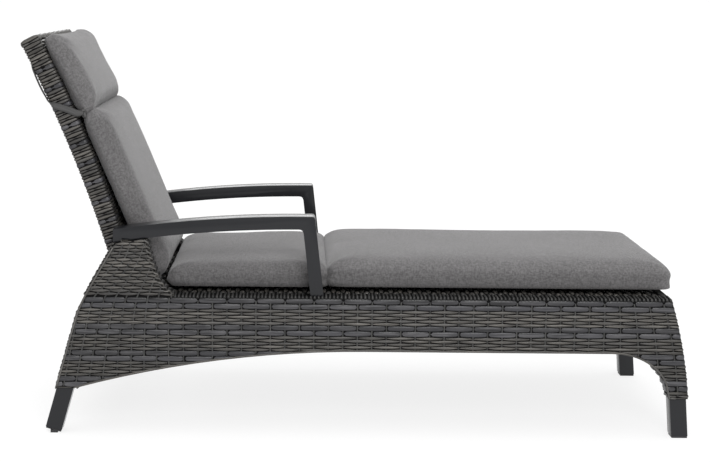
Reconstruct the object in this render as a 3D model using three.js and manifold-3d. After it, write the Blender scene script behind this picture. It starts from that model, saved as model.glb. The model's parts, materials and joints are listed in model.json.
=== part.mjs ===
// Reclining sun lounger: a woven aluminium base with two fixed armrests, a backrest that reclines on a
// pair of toothed side plates, and a four-part mattress. Millimetres, +Z up, +X towards the foot end.
// The outlines are drawn with X = 0 on the recline axis; the last lines centre the whole on the origin.

import * as THREE from 'three';
import { mergeVertices } from 'three/addons/utils/BufferGeometryUtils.js';
import Module from 'manifold-3d';

const wasm = await Module();
wasm.setup();

// ---------------------------------------------------------------- driving dimensions

// Overall sizes
const overallWidth = 670;          // outside of the woven sides
const deckHeight = 346;            // top of the woven deck above the floor
const footReach = 1317;            // recline axis to the foot end of the deck
const armRise = 196;               // deck top to the highest point of the armrests
const backLength = 680;            // recline axis to the top of the backrest, along its curve

// Clearances
const gap = 0.4;                   // between pieces that touch
const runningGap = 0.3;            // radial, round pins in their holes

// Woven sides
const sideWeave = 4.6;             // woven face of a side
const edgeWeave = 3;               // woven edge that wraps the frame
const sideBand = 134;              // woven band between deck and arch
const rearSleeveHeight = 115;      // bottom of the weave at the rear leg
const footSleeveHeight = 100;      // bottom of the weave at the front leg
const rearLean = 16;               // degrees, rear leg and rear edge
const shoulderLean = 31;           // degrees, rear edge at the shoulder top
const rearBendDrop = 51;           // deck top down to where the rear edge starts to curve
const rearBendX = -130;
const shoulderTurn = 0.2;          // share of the shoulder's rise where its rear edge turns
const shoulderFrontX = 40;
const shoulderFootX = 118;         // where the shoulder runs out into the deck line
const archApexX = 576;             // where the long rear arc becomes level
const footArchLength = 140;        // half axis of the ellipse beside the front leg
const footLeanTop = 17.5;          // degrees, foot edge at the deck
const footLeanBottom = 5;          // degrees, foot edge at the sleeve
const footBulge = 50;              // how far the foot edge swings out below the deck

// Frame tubes
const legSize = 40;
const legWall = 2;
const railHeight = 30;
const railWall = 2;
const crossRailWidth = 40;
const crossRailHeight = 18;
const archBarSize = 22;
const shoulderPostSize = 36;
const shoulderPostFootX = -45;
const shoulderPostTopX = 2;
const crossRailStations = [85, 482, 900];

// Feet
const footGlideHeight = 5;
const rearGlideRadius = 9;

// Deck and end panels
const deckThickness = 15;
const endPanelThickness = 12;
const rearPanelBottom = 150;
const rearPanelDrop = 56;          // deck top down to the top of the rear panel
const rearRailSize = 20;

// Armrests
const armWidth = 54;
const armThickness = 31.5;
const armInset = 6;                // woven side to the outer face of the armrest
const armRearOverhang = 4;         // past the shoulder
const armCrestX = 418;
const armDrop = 35;                // crest down to the rear end
const armPostX = 450;              // foot of the front face line at the crest
const armPostLean = 6.7;           // degrees
const armCornerRadius = 7;
const armFilletRadius = 12;

// Backrest
const hingeDrop = 21;              // deck top down to the recline axis
const backBottomAngle = 75.2;      // degrees above the horizontal at the axis
const backCurveRadius = 3200;
const backThickness = 42;
const backHalfWidth = 268;
const backWeave = 4;
const backWeaveStart = 25;         // along the curve, where the weave begins
const stileDepth = 30;
const stileWidth = 25;
const backTubeSize = 22;
const propRailStation = 95;
const reclineAngle = 69;           // degrees from this upright position to flat

// Recline plates and prop
const plateThickness = 5;
const pinRadius = 5;
const propPivotDepth = 37;         // behind the middle of the backrest
const propLength = 100;
const propStartAngle = -97;        // degrees, direction pivot to foot, upright
const propEndAngle = -100;         // the same with the backrest flat
const propArmWidth = 20;
const propArmThickness = 6;
const propArmOuter = 229;          // outer side face of a prop arm, from the middle
const footBarRadius = 8;
const lugThickness = 5;
const toothDepth = 8;
const toothCount = 6;

// Mattress
const mattressHalfWidth = 271;
const backPadHalfWidth = 257;
const padLift = 1.5;               // deck to the underside
const legPadThickness = 80;
const seatPadFrontThickness = 72;
const seatPadRearThickness = 55;
const seatPadTuck = 2;             // how far the seat pad reaches under the back pad's lower edge
const seatLegSeamX = 482;
const seamGap = 4;
const legPadOverhang = 15;         // past the foot end of the deck
const backPadThickness = 60;
const backPadAngle = 67.2;
const backPadStandoff = 26.3;      // backrest to the lower rear corner
const backPadFootLift = 26;        // above the deck top
const backPadLength = 436;
const headPadLength = 189;
const headPadThickness = 54;
const headPadAngle = 63.2;

// Strap
const strapWidth = 20;
const strapThickness = 2;
const strapStation = 492;
const strapRise = 120;
const strapStandoff = 4;           // clear of the hollow rear face

// ---------------------------------------------------------------- colours

const finish = {
  weave: new THREE.MeshStandardMaterial({ color: 0x5c5a57, roughness: 0.6, metalness: 0 }),
  metal: new THREE.MeshStandardMaterial({ color: 0x3a3c40, roughness: 0.45, metalness: 0.3 }),
  steel: new THREE.MeshStandardMaterial({ color: 0x8d9196, roughness: 0.35, metalness: 0.9 }),
  plastic: new THREE.MeshStandardMaterial({ color: 0x18181a, roughness: 0.5, metalness: 0 }),
  fabric: new THREE.MeshStandardMaterial({ color: 0x6d6a6c, roughness: 0.95, metalness: 0 }),
};

// ---------------------------------------------------------------- small geometry helpers

const lounger = new THREE.Group();
const rad = THREE.MathUtils.degToRad;
const tan = (degrees) => Math.tan(rad(degrees));
const vec = (x, z) => new THREE.Vector2(x, z);

function addPiece(name, geometry, material) {
  const mesh = new THREE.Mesh(geometry, material);
  mesh.name = name;
  lounger.add(mesh);
  return mesh;
}

// An outline in the XZ plane, extruded across Y from y0 to y1.
function slab(outline, y0, y1, holes = []) {
  const shape = new THREE.Shape(outline);
  holes.forEach((hole) => shape.holes.push(new THREE.Path(hole)));
  const geometry = new THREE.ExtrudeGeometry(shape, { depth: y1 - y0, bevelEnabled: false });
  geometry.rotateX(Math.PI / 2);
  geometry.translate(0, y1, 0);
  return geometry;
}

function box(x0, x1, y0, y1, z0, z1) {
  const geometry = new THREE.BoxGeometry(x1 - x0, y1 - y0, z1 - z0);
  geometry.translate((x0 + x1) / 2, (y0 + y1) / 2, (z0 + z1) / 2);
  return geometry;
}

function rod(x, z, radius, y0, y1, sides = 20) {
  const geometry = new THREE.CylinderGeometry(radius, radius, y1 - y0, sides);
  geometry.translate(x, (y0 + y1) / 2, z);
  return geometry;
}

function toSolid(geometry) {
  const bare = geometry.clone();
  bare.deleteAttribute('normal');
  bare.deleteAttribute('uv');
  const merged = mergeVertices(bare, 1e-3);
  return new wasm.Manifold(new wasm.Mesh({
    numProp: 3,
    vertProperties: new Float32Array(merged.getAttribute('position').array),
    triVerts: new Uint32Array(merged.index.array),
  }));
}

function toGeometry(solid) {
  const mesh = solid.getMesh();
  const geometry = new THREE.BufferGeometry();
  geometry.setAttribute('position', new THREE.BufferAttribute(new Float32Array(mesh.vertProperties), 3));
  geometry.setIndex(new THREE.BufferAttribute(new Uint32Array(mesh.triVerts), 1));
  geometry.computeVertexNormals();
  return geometry;
}

function cut(geometry, ...tools) {
  const solid = tools.reduce((rest, tool) => rest.subtract(toSolid(tool)), toSolid(geometry));
  return toGeometry(solid);
}

function join(first, ...others) {
  return toGeometry(others.reduce((sum, other) => sum.add(toSolid(other)), toSolid(first)));
}

function keepInside(geometry, region) {
  return toGeometry(toSolid(geometry).intersect(toSolid(region)));
}

// A mirrored copy on the other side of the middle plane, with its faces still pointing out.
function mirrored(geometry) {
  const copy = geometry.index ? geometry.toNonIndexed() : geometry.clone();
  copy.scale(1, -1, 1);
  const position = copy.getAttribute('position');
  for (let corner = 0; corner < position.count; corner += 3) {
    const [ax, ay, az] = [position.getX(corner), position.getY(corner), position.getZ(corner)];
    position.setXYZ(corner, position.getX(corner + 1), position.getY(corner + 1), position.getZ(corner + 1));
    position.setXYZ(corner + 1, ax, ay, az);
  }
  copy.computeVertexNormals();
  return copy;
}

// Adds the piece on the left (+Y) side as drawn and its mirror image on the right (-Y) side.
function addPair(name, geometry, material) {
  addPiece(`${name}_left`, geometry, material);
  addPiece(`${name}_right`, mirrored(geometry), material);
}

// The closed outline moved inwards by a distance; outlines run anticlockwise.
function inset(outline, distance) {
  const count = outline.length;
  return outline.map((point, index) => {
    const before = outline[(index + count - 1) % count];
    const after = outline[(index + 1) % count];
    const a = point.clone().sub(before).normalize();
    const b = after.clone().sub(point).normalize();
    const normalA = vec(-a.y, a.x);
    const normalB = vec(-b.y, b.x);
    const scale = distance / (1 + normalA.dot(normalB));
    return point.clone().add(normalA.add(normalB).multiplyScalar(scale));
  });
}

// An open line moved to its left by a distance.
function shifted(line, distance) {
  return line.map((point, index) => {
    const before = line[Math.max(index - 1, 0)];
    const after = line[Math.min(index + 1, line.length - 1)];
    const along = after.clone().sub(before).normalize();
    return vec(point.x - along.y * distance, point.y + along.x * distance);
  });
}

// The outline of a bar that follows a line, between two distances to the line's left.
function barOutline(line, low, high) {
  return [...shifted(line, low), ...shifted(line, high).reverse()];
}

const bezier = (a, control, b, steps) => new THREE.QuadraticBezierCurve(a, control, b).getPoints(steps);

// ---------------------------------------------------------------- shared lines of the base

const halfWidth = overallWidth / 2;
const frameOuter = halfWidth - sideWeave - gap;
const frameInner = frameOuter - legSize;
const weaveInner = frameInner - edgeWeave;
const innerWidth = weaveInner - gap;
const axisHeight = deckHeight - hingeDrop;
const archHeight = deckHeight - sideBand;
const railTop = deckHeight - edgeWeave - gap;
const railBottom = railTop - railHeight;
const legInset = edgeWeave + gap;

const armHeight = deckHeight + armRise;

// Rear edge of a side, from the sleeve up to the shoulder.
const rearBend = vec(rearBendX, deckHeight - rearBendDrop);
const rearEdgeX = (z) => rearBend.x - (rearBend.y - z) * tan(rearLean);
const shoulderRearZ = armHeight - armDrop - armThickness - gap;
const shoulderRise = shoulderRearZ - rearBend.y;
const rearTurnZ = rearBend.y + shoulderTurn * shoulderRise;
const rearTurn = vec(rearEdgeX(rearTurnZ), rearTurnZ);
const shoulderRear = vec(rearTurn.x + (shoulderRearZ - rearTurn.y) * tan(shoulderLean), shoulderRearZ);

// Top of an armrest: an arc that is level at the crest.
const armRearX = shoulderRear.x - armRearOverhang;
const armReach = armCrestX - armRearX;
const armRadius = (armReach * armReach + armDrop * armDrop) / (2 * armDrop);
const armTopAt = (x) => armHeight - armRadius + Math.sqrt(armRadius ** 2 - (x - armCrestX) ** 2);
const armUndersideAt = (x) => armTopAt(x) - armThickness;


// Foot edge of a side, from the deck down to the sleeve and on down the leg.
const footTop = vec(footReach, deckHeight);
const footSleeve = vec(footReach + footBulge, footSleeveHeight);
const footTurnZ = (footSleeve.x + footSleeve.y * tan(footLeanBottom) - footTop.x - footTop.y * tan(footLeanTop))
  / (tan(footLeanBottom) - tan(footLeanTop));
const footTurn = vec(footSleeve.x - (footTurnZ - footSleeve.y) * tan(footLeanBottom), footTurnZ);
const footEdge = bezier(footSleeve, footTurn, footTop, 12);
const footLineX = (z) => footSleeve.x + (footSleeve.y - z) * tan(footLeanBottom);
const footLegStart = vec(footLineX(-legSize), -legSize);

// Arch under a side: a long arc behind, level in the middle, an ellipse beside the front leg.
const sleeveSize = legSize + 2 * legInset;
const rearArchFoot = vec(rearEdgeX(rearSleeveHeight) + sleeveSize / Math.cos(rad(rearLean)), rearSleeveHeight);
const footArchFoot = vec(footSleeve.x - sleeveSize, footSleeveHeight);
function archLine() {
  const run = archApexX - rearArchFoot.x;
  const rise = archHeight - rearSleeveHeight;
  const radius = (run * run + rise * rise) / (2 * rise);
  const sweep = Math.asin(run / radius);
  const points = [];
  for (let step = 0; step <= 12; step += 1) {
    const angle = sweep * (1 - step / 12);
    points.push(vec(archApexX - radius * Math.sin(angle), archHeight - radius * (1 - Math.cos(angle))));
  }
  const drop = archHeight - footSleeveHeight;
  for (let step = 0; step <= 10; step += 1) {
    const angle = (Math.PI / 2) * (1 - step / 10);
    points.push(vec(footArchFoot.x - footArchLength * (1 - Math.cos(angle)),
      footSleeveHeight + drop * Math.sin(angle)));
  }
  return points;
}
const arch = archLine();

const shoulderFront = vec(shoulderFrontX, armUndersideAt(shoulderFrontX) - gap);
const shoulderSlope = (shoulderFront.y - shoulderRear.y) / (shoulderFront.x - shoulderRear.x);
const shoulderTopAt = (x) => shoulderRear.y + (x - shoulderRear.x) * shoulderSlope;

function sideOutline() {
  const shoulderFoot = vec(shoulderFootX, deckHeight);
  const corner = vec(shoulderFrontX + (shoulderFootX - shoulderFrontX) / 3, deckHeight);
  return [
    ...arch,
    ...footEdge,
    ...bezier(shoulderFoot, corner, shoulderFront, 8),
    ...bezier(shoulderRear, rearTurn, rearBend, 8),
    vec(rearEdgeX(rearSleeveHeight), rearSleeveHeight),
  ];
}

// ---------------------------------------------------------------- armrests

function postLineX(z) {
  return armPostX + (armHeight - z) * tan(armPostLean);
}

const armOuter = halfWidth - armInset;
const armInner = armOuter - armWidth;
const postWidth = armThickness / Math.cos(rad(armPostLean));

function armOutline() {
  const top = [];
  const cornerStart = postLineX(armHeight) - armCornerRadius;
  for (let step = 0; step <= 16; step += 1) {
    const x = armRearX + (cornerStart - armRearX) * (step / 16);
    top.push(vec(x, armTopAt(x)));
  }
  const cornerDrop = armTopAt(cornerStart) - armCornerRadius;
  const corner = bezier(top[top.length - 1], vec(postLineX(armHeight), armTopAt(cornerStart)),
    vec(postLineX(cornerDrop), cornerDrop), 4).slice(1);
  const filletZ = armUndersideAt(armCrestX) - armFilletRadius;
  const filletX = postLineX(filletZ) - postWidth;
  const filletStartX = filletX - armFilletRadius;
  const fillet = bezier(vec(filletX, filletZ), vec(filletX - 1, armUndersideAt(filletStartX)),
    vec(filletStartX, armUndersideAt(filletStartX)), 5);
  const underside = [];
  for (let step = 1; step <= 16; step += 1) {
    const x = filletStartX + (armRearX - filletStartX) * (step / 16);
    underside.push(vec(x, armUndersideAt(x)));
  }
  const postFoot = railTop + gap;
  return [
    ...underside.reverse(),
    ...fillet.reverse(),
    vec(postLineX(postFoot) - postWidth, postFoot),
    vec(postLineX(postFoot), postFoot),
    ...corner.reverse(),
    ...top.reverse(),
  ];
}

addPair('armrest', slab(armOutline(), armInner, armOuter), finish.metal);

// ---------------------------------------------------------------- legs and feet

// Centre lines run upwards; a bar's outline lies to the left of the line it follows.
const footLegLine = [footLegStart, ...footEdge].filter((point) => point.y < railBottom - legSize / 2);
const footLegTop = vec(footTop.x + (footTop.y - railBottom + gap) * tan(footLeanTop), railBottom - gap);
footLegLine.push(footLegTop);

function hollowBar(line, low, high, y0, y1, wall) {
  const first = line[0].clone().sub(line[1].clone().sub(line[0]).setLength(legSize));
  const last = line[line.length - 1];
  const past = last.clone().add(last.clone().sub(line[line.length - 2]).setLength(legSize));
  const core = slab(barOutline([first, ...line, past], low + wall, high - wall), y0 + wall, y1 - wall);
  return cut(slab(barOutline(line, low, high), y0, y1), core);
}

const belowFrontLeg = box(0, 2 * footReach, -halfWidth, halfWidth, -3 * legSize, footGlideHeight);
addPair('front_leg', cut(hollowBar(footLegLine, legInset, legInset + legSize, frameInner, frameOuter, legWall),
  belowFrontLeg), finish.metal);

const footGlideFront = footLineX(0) - legInset - 1;
addPair('front_glide', box(footGlideFront - legSize + 2, footGlideFront, frameInner + 1, frameOuter - 1, 0,
  footGlideHeight - gap), finish.plastic);

// The rear leg leans back and is cut square to itself, with its front lower corner near the floor.
const rearUp = vec(Math.sin(rad(rearLean)), Math.cos(rad(rearLean)));
const rearAcross = vec(Math.cos(rad(rearLean)), -Math.sin(rad(rearLean)));
const rearCornerLift = footGlideHeight;
const rearFaceShift = legInset / Math.cos(rad(rearLean));
const rearBottomZ = rearCornerLift + legSize * Math.sin(rad(rearLean));
const rearLegBottom = vec(rearEdgeX(rearBottomZ) + rearFaceShift, rearBottomZ);
const rearLegTopZ = railBottom - gap;
const rearLegLine = [rearLegBottom, vec(rearEdgeX(rearLegTopZ) + rearFaceShift, rearLegTopZ)];
const rearLegBlock = slab([
  rearLegBottom,
  rearLegBottom.clone().addScaledVector(rearAcross, legSize),
  vec(rearLegLine[1].x + legSize / Math.cos(rad(rearLean)), rearLegTopZ),
  rearLegLine[1],
], frameInner, frameOuter);
const rearLegCore = slab(barOutline([
  rearLegBottom.clone().addScaledVector(rearUp, -legSize),
  rearLegLine[1].clone().addScaledVector(rearUp, legSize),
], -legWall, legWall - legSize), frameInner + legWall, frameOuter - legWall);
addPair('rear_leg', cut(rearLegBlock, rearLegCore), finish.metal);

function rearGlideOutline() {
  const capDepth = 3;
  const topLeft = rearLegBottom.clone().addScaledVector(rearUp, -gap).addScaledVector(rearAcross, 1);
  const topRight = topLeft.clone().addScaledVector(rearAcross, legSize - 2);
  const lowRight = topRight.clone().addScaledVector(rearUp, -capDepth);
  const lowLeft = topLeft.clone().addScaledVector(rearUp, -capDepth);
  const middle = lowLeft.clone().lerp(lowRight, 0.55);
  return [
    topLeft,
    lowLeft,
    middle.clone().addScaledVector(rearAcross, -rearGlideRadius),
    vec(middle.x - rearGlideRadius, 0),
    vec(middle.x + rearGlideRadius, 0),
    middle.clone().addScaledVector(rearAcross, rearGlideRadius),
    lowRight,
    topRight,
  ];
}
addPair('rear_glide', slab(rearGlideOutline(), frameInner + 1, frameOuter - 1), finish.plastic);

// ---------------------------------------------------------------- hidden frame inside the weave

function hollowBeamX(x0, x1, y0, y1, z0, z1, wall) {
  return cut(box(x0, x1, y0, y1, z0, z1), box(x0 - 1, x1 + 1, y0 + wall, y1 - wall, z0 + wall, z1 - wall));
}

function hollowBeamY(x0, x1, halfSpan, z0, z1, wall) {
  return cut(box(x0, x1, -halfSpan, halfSpan, z0, z1),
    box(x0 + wall, x1 - wall, -halfSpan - 1, halfSpan + 1, z0 + wall, z1 - wall));
}

const railRearX = rearEdgeX(railBottom) + 20;
addPair('side_rail', hollowBeamX(railRearX, footTop.x - legInset, frameInner, frameOuter, railBottom, railTop,
  railWall), finish.metal);

const shoulderPostTopZ = shoulderTopAt(shoulderPostTopX - shoulderPostSize / 2) - 2 * gap - edgeWeave;
const shoulderPost = slab([
  vec(shoulderPostFootX - shoulderPostSize / 2, railTop + gap),
  vec(shoulderPostFootX + shoulderPostSize / 2, railTop + gap),
  vec(shoulderPostTopX + shoulderPostSize / 2, shoulderPostTopZ),
  vec(shoulderPostTopX - shoulderPostSize / 2, shoulderPostTopZ),
], frameInner + 6, frameOuter - 6);
addPair('shoulder_post', shoulderPost, finish.metal);

const rearLegClear = slab(inset([
  rearLegBottom,
  rearLegBottom.clone().addScaledVector(rearAcross, legSize),
  vec(rearLegLine[1].x + legSize / Math.cos(rad(rearLean)), rearLegTopZ),
  rearLegLine[1],
], -gap), frameInner - gap, frameOuter + gap);
const footLegClear = slab(barOutline(footLegLine, legInset - gap, legInset + legSize + gap),
  frameInner - gap, frameOuter + gap);
const archBar = slab(barOutline(arch, legInset, legInset + archBarSize), frameInner + 9, frameOuter - 9);
addPair('arch_bar', cut(archBar, rearLegClear, footLegClear), finish.metal);

const crossRailTop = deckHeight - deckThickness - gap;
crossRailStations.forEach((x, index) => {
  addPiece(`cross_rail_${index + 1}`, hollowBeamY(x - crossRailWidth / 2, x + crossRailWidth / 2,
    frameInner - gap, crossRailTop - crossRailHeight, crossRailTop, railWall), finish.metal);
});

// ---------------------------------------------------------------- woven deck, sides and ends

// Room for an armrest post where it passes through the weave to stand on its side rail.
const postClear = slab([
  vec(postLineX(railTop) - postWidth - gap, railTop),
  vec(postLineX(railTop) + gap, railTop),
  vec(postLineX(armHeight) + gap, armHeight),
  vec(postLineX(armHeight) - postWidth - gap, armHeight),
], armInner - gap, armOuter + gap);

function wovenSide() {
  const outline = sideOutline();
  const shell = cut(slab(outline, weaveInner, halfWidth),
    slab(inset(outline, edgeWeave), weaveInner - 1, halfWidth - sideWeave));
  const shoulderZone = box(-2 * footReach, footReach, weaveInner - 1, frameInner - gap, deckHeight + 4,
    armHeight);
  const shoulderInside = keepInside(slab(outline, weaveInner, frameInner - gap), shoulderZone);
  return cut(join(shell, shoulderInside), rearLegClear, footLegClear, postClear);
}
addPair('woven_side', wovenSide(), finish.weave);

const footPanelLine = footEdge.filter((point) => point.y > archHeight);
footPanelLine.unshift(vec(footSleeve.x - (archHeight - footSleeve.y) * tan(footLeanBottom), archHeight));
const footPanel = keepInside(slab(barOutline(footPanelLine, 0, endPanelThickness), -innerWidth, innerWidth),
  box(0, 2 * footReach, -halfWidth, halfWidth, archHeight, deckHeight));
addPiece('woven_foot_panel', footPanel, finish.weave);

const footPanelInnerX = footTop.x - endPanelThickness / Math.cos(rad(footLeanTop)) - gap;
const deckRearX = hingeDrop + 11;
addPiece('woven_deck', cut(box(deckRearX, footPanelInnerX - 1, -innerWidth, innerWidth,
  deckHeight - deckThickness, deckHeight), postClear, mirrored(postClear)), finish.weave);

const rearPanelTop = deckHeight - rearPanelDrop;
const rearPanelThickness = endPanelThickness / Math.cos(rad(rearLean));
addPiece('woven_rear_panel', slab([
  vec(rearEdgeX(rearPanelBottom), rearPanelBottom),
  vec(rearEdgeX(rearPanelBottom) + rearPanelThickness, rearPanelBottom),
  vec(rearEdgeX(rearPanelTop) + rearPanelThickness, rearPanelTop),
  vec(rearEdgeX(rearPanelTop), rearPanelTop),
], -innerWidth, innerWidth), finish.weave);

const rearRailX = rearEdgeX(rearPanelBottom + rearRailSize) + rearPanelThickness + gap;
addPiece('rear_rail', hollowBeamY(rearRailX, rearRailX + rearRailSize, frameInner - gap, rearPanelBottom,
  rearPanelBottom + rearRailSize, railWall), finish.metal);

const footRailX = footTop.x - endPanelThickness / Math.cos(rad(footLeanTop)) - crossRailWidth;
addPiece('foot_rail', hollowBeamY(footRailX, footRailX + crossRailWidth - 2, frameInner - gap,
  crossRailTop - crossRailHeight, crossRailTop, railWall), finish.metal);

// ---------------------------------------------------------------- backrest

// A point on the curved backrest: s along it from the axis, n forward of its middle.
function backTangent(s) {
  return rad(backBottomAngle) - s / backCurveRadius;
}

function backPoint(s, n) {
  const start = rad(backBottomAngle);
  const angle = backTangent(s);
  const x = -backCurveRadius * (Math.sin(start) - Math.sin(angle)) + n * Math.sin(angle);
  const z = backCurveRadius * (Math.cos(angle) - Math.cos(start)) + n * Math.cos(angle);
  return vec(x, axisHeight + z);
}

function backStrip(s0, s1, n0, n1, steps = 12) {
  const front = [];
  const rear = [];
  for (let step = 0; step <= steps; step += 1) {
    const s = s0 + (s1 - s0) * (step / steps);
    front.push(backPoint(s, n1));
    rear.push(backPoint(s, n0));
  }
  return [...front, ...rear.reverse()];
}

// Local axes on the backrest: X forward out of it, Z along it, Y across.
function onBack(geometry, s, n) {
  const place = backPoint(s, n);
  geometry.rotateY(backTangent(s) - Math.PI / 2);
  geometry.translate(place.x, 0, place.y);
  return geometry;
}

const stileOuter = backHalfWidth - backWeave - gap;
const stileInner = stileOuter - stileWidth;
const tubeSpan = stileInner - gap;
const stileEnd = backLength - backWeave - gap;
const halfStile = stileDepth / 2;
const hingeHole = rod(0, axisHeight, pinRadius + runningGap, stileInner - 1, stileOuter + 1);
const stile = join(slab(backStrip(0, stileEnd, -halfStile, halfStile), stileInner, stileOuter),
  rod(0, axisHeight, halfStile, stileInner, stileOuter, 24));
addPair('back_stile', cut(stile, hingeHole), finish.metal);

function backTube(station) {
  return onBack(hollowBeamY(-backTubeSize / 2, backTubeSize / 2, tubeSpan, -backTubeSize / 2, backTubeSize / 2,
    railWall), station, 0);
}
addPiece('back_bottom_rail', backTube(backWeaveStart + backTubeSize), finish.metal);
addPiece('back_prop_rail', backTube(propRailStation), finish.metal);
addPiece('back_middle_rail', backTube((propRailStation + stileEnd) / 2), finish.metal);
addPiece('back_top_rail', backTube(stileEnd - backTubeSize / 2), finish.metal);

const lugOuter = propArmOuter + runningGap + 1 + lugThickness;
const lugInner = lugOuter - lugThickness;
const pivot = backPoint(propRailStation, -propPivotDepth);
const pivotRadius = 4;
const lugRadius = 10;
const lugPlate = join(
  slab(backStrip(propRailStation - lugRadius, propRailStation + lugRadius, -propPivotDepth,
    -backTubeSize / 2 - gap, 1), lugInner, lugOuter),
  rod(pivot.x, pivot.y, lugRadius, lugInner, lugOuter, 24),
);
addPair('prop_lug', cut(lugPlate, rod(pivot.x, pivot.y, pivotRadius + runningGap, lugInner - 1, lugOuter + 1)),
  finish.steel);

function wovenBack() {
  const half = backThickness / 2;
  const outside = slab(backStrip(backWeaveStart, backLength, -half, half), -backHalfWidth, backHalfWidth);
  const inside = slab(backStrip(backWeaveStart - 30, backLength - backWeave, backWeave - half,
    half - backWeave), backWeave - backHalfWidth, backHalfWidth - backWeave);
  const slot = slab(backStrip(propRailStation - lugRadius - 1, propRailStation + lugRadius + 1,
    -backThickness, 0, 1), lugInner - 1, lugOuter + 1);
  return cut(outside, inside, slot, mirrored(slot));
}
addPiece('woven_back', wovenBack(), finish.weave);

// ---------------------------------------------------------------- recline plates, pins and prop

const turn = (point, degrees) => point.clone().rotateAround(vec(0, axisHeight), rad(degrees));

// Where the foot bar is when the backrest has reclined by some degrees.
function footBarAt(degrees) {
  const share = degrees / reclineAngle;
  const angle = rad(propStartAngle + (propEndAngle - propStartAngle) * share);
  const from = turn(pivot, degrees);
  return vec(from.x + propLength * Math.cos(angle), from.y + propLength * Math.sin(angle));
}

const plateOuter = frameInner - gap;
const plateFrontX = deckRearX - 2;

// A side plate: the axis hole above, and steps down the rear rim that the foot bar rests against.
function reclinePlateOutline() {
  const rim = [];
  const reach = footBarRadius + 1;
  for (let tooth = 0; tooth < toothCount; tooth += 1) {
    const from = reclineAngle * (tooth / toothCount);
    const to = reclineAngle * ((tooth + 1) / toothCount);
    const inwards = (degrees, depth) => {
      const here = footBarAt(degrees);
      const ahead = footBarAt(degrees + 1);
      const along = ahead.sub(here).normalize();
      return vec(here.x - along.y * depth, here.y + along.x * depth);
    };
    rim.push(inwards(from, reach + toothDepth));
    rim.push(inwards(from + (to - from) * 0.15, reach));
    rim.push(inwards(to - (to - from) * 0.35, reach));
  }
  const last = footBarAt(reclineAngle);
  return [
    vec(plateFrontX, railTop - 4),
    vec(-30, railTop - 4),
    vec(-46, axisHeight - 4),
    ...rim,
    vec(last.x + footBarRadius + 14, last.y - 12),
    vec(last.x + 62, last.y - 2),
    vec(plateFrontX, railBottom - 4),
  ];
}
const plateInner = plateOuter - plateThickness;
const plate = slab(reclinePlateOutline(), plateInner, plateOuter);
addPair('recline_plate', cut(plate, rod(0, axisHeight, pinRadius + runningGap, plateInner - 1, plateOuter + 1)),
  finish.steel);
addPair('hinge_pin', rod(0, axisHeight, pinRadius, stileInner - 4, plateOuter - gap), finish.steel);

const bushOuterRadius = 11;
const bush = cut(rod(0, axisHeight, bushOuterRadius, stileOuter + gap, plateInner - gap, 24),
  rod(0, axisHeight, pinRadius + runningGap, stileOuter - 1, plateInner + 1));
addPair('hinge_bush', bush, finish.plastic);

const propFoot = footBarAt(0);
const propAlong = propFoot.clone().sub(pivot).normalize();
const propArmInner = propArmOuter - propArmThickness;
const propArm = join(
  slab(barOutline([pivot, pivot.clone().addScaledVector(propAlong, propLength)], -propArmWidth / 2,
    propArmWidth / 2), propArmInner, propArmOuter),
  rod(pivot.x, pivot.y, propArmWidth / 2, propArmInner, propArmOuter, 24),
  rod(propFoot.x, propFoot.y, propArmWidth / 2 + 2, propArmInner, propArmOuter, 24),
);
addPair('prop_arm', cut(propArm,
  rod(pivot.x, pivot.y, pivotRadius + runningGap, propArmInner - 1, propArmOuter + 1),
  rod(propFoot.x, propFoot.y, footBarRadius + runningGap, propArmInner - 1, propArmOuter + 1)), finish.steel);
addPiece('prop_foot_bar', rod(propFoot.x, propFoot.y, footBarRadius, gap - plateOuter, plateOuter - gap),
  finish.steel);
addPair('prop_pin', rod(pivot.x, pivot.y, pivotRadius, propArmInner - 3, lugOuter + 3), finish.steel);

// ---------------------------------------------------------------- mattress

// A plain pad between two XZ outlines' corners, its long edges broken by a chamfer.
function pad(corners, halfSpan, chamfer) {
  const steps = corners.map((corner, index) => {
    const before = corners[(index + corners.length - 1) % corners.length];
    const after = corners[(index + 1) % corners.length];
    const back = corner.clone().add(before.clone().sub(corner).setLength(chamfer));
    const ahead = corner.clone().add(after.clone().sub(corner).setLength(chamfer));
    return [back, ahead];
  });
  return slab(steps.flat(), -halfSpan, halfSpan);
}

const padBottom = deckHeight + padLift;
const backPadFootX = backThickness / 2 / Math.sin(rad(backBottomAngle)) + backPadStandoff;
const backPadFoot = vec(backPadFootX, deckHeight + backPadFootLift);
const seatPadRearX = backPadFootX + backPadThickness * Math.sin(rad(backPadAngle)) - seatPadTuck;
addPiece('leg_cushion', pad([
  vec(seatLegSeamX + seamGap / 2, padBottom),
  vec(footTop.x + legPadOverhang, padBottom),
  vec(footTop.x + legPadOverhang, padBottom + legPadThickness),
  vec(seatLegSeamX + seamGap / 2, padBottom + legPadThickness),
], mattressHalfWidth, 18), finish.fabric);
addPiece('seat_cushion', pad([
  vec(seatPadRearX, padBottom),
  vec(seatLegSeamX - seamGap / 2, padBottom),
  vec(seatLegSeamX - seamGap / 2, padBottom + seatPadFrontThickness),
  vec(seatPadRearX, padBottom + seatPadRearThickness),
], mattressHalfWidth, 14), finish.fabric);

const slopeUp = (degrees) => vec(-Math.cos(rad(degrees)), Math.sin(rad(degrees)));
const slopeOut = (degrees) => vec(Math.sin(rad(degrees)), Math.cos(rad(degrees)));

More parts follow.
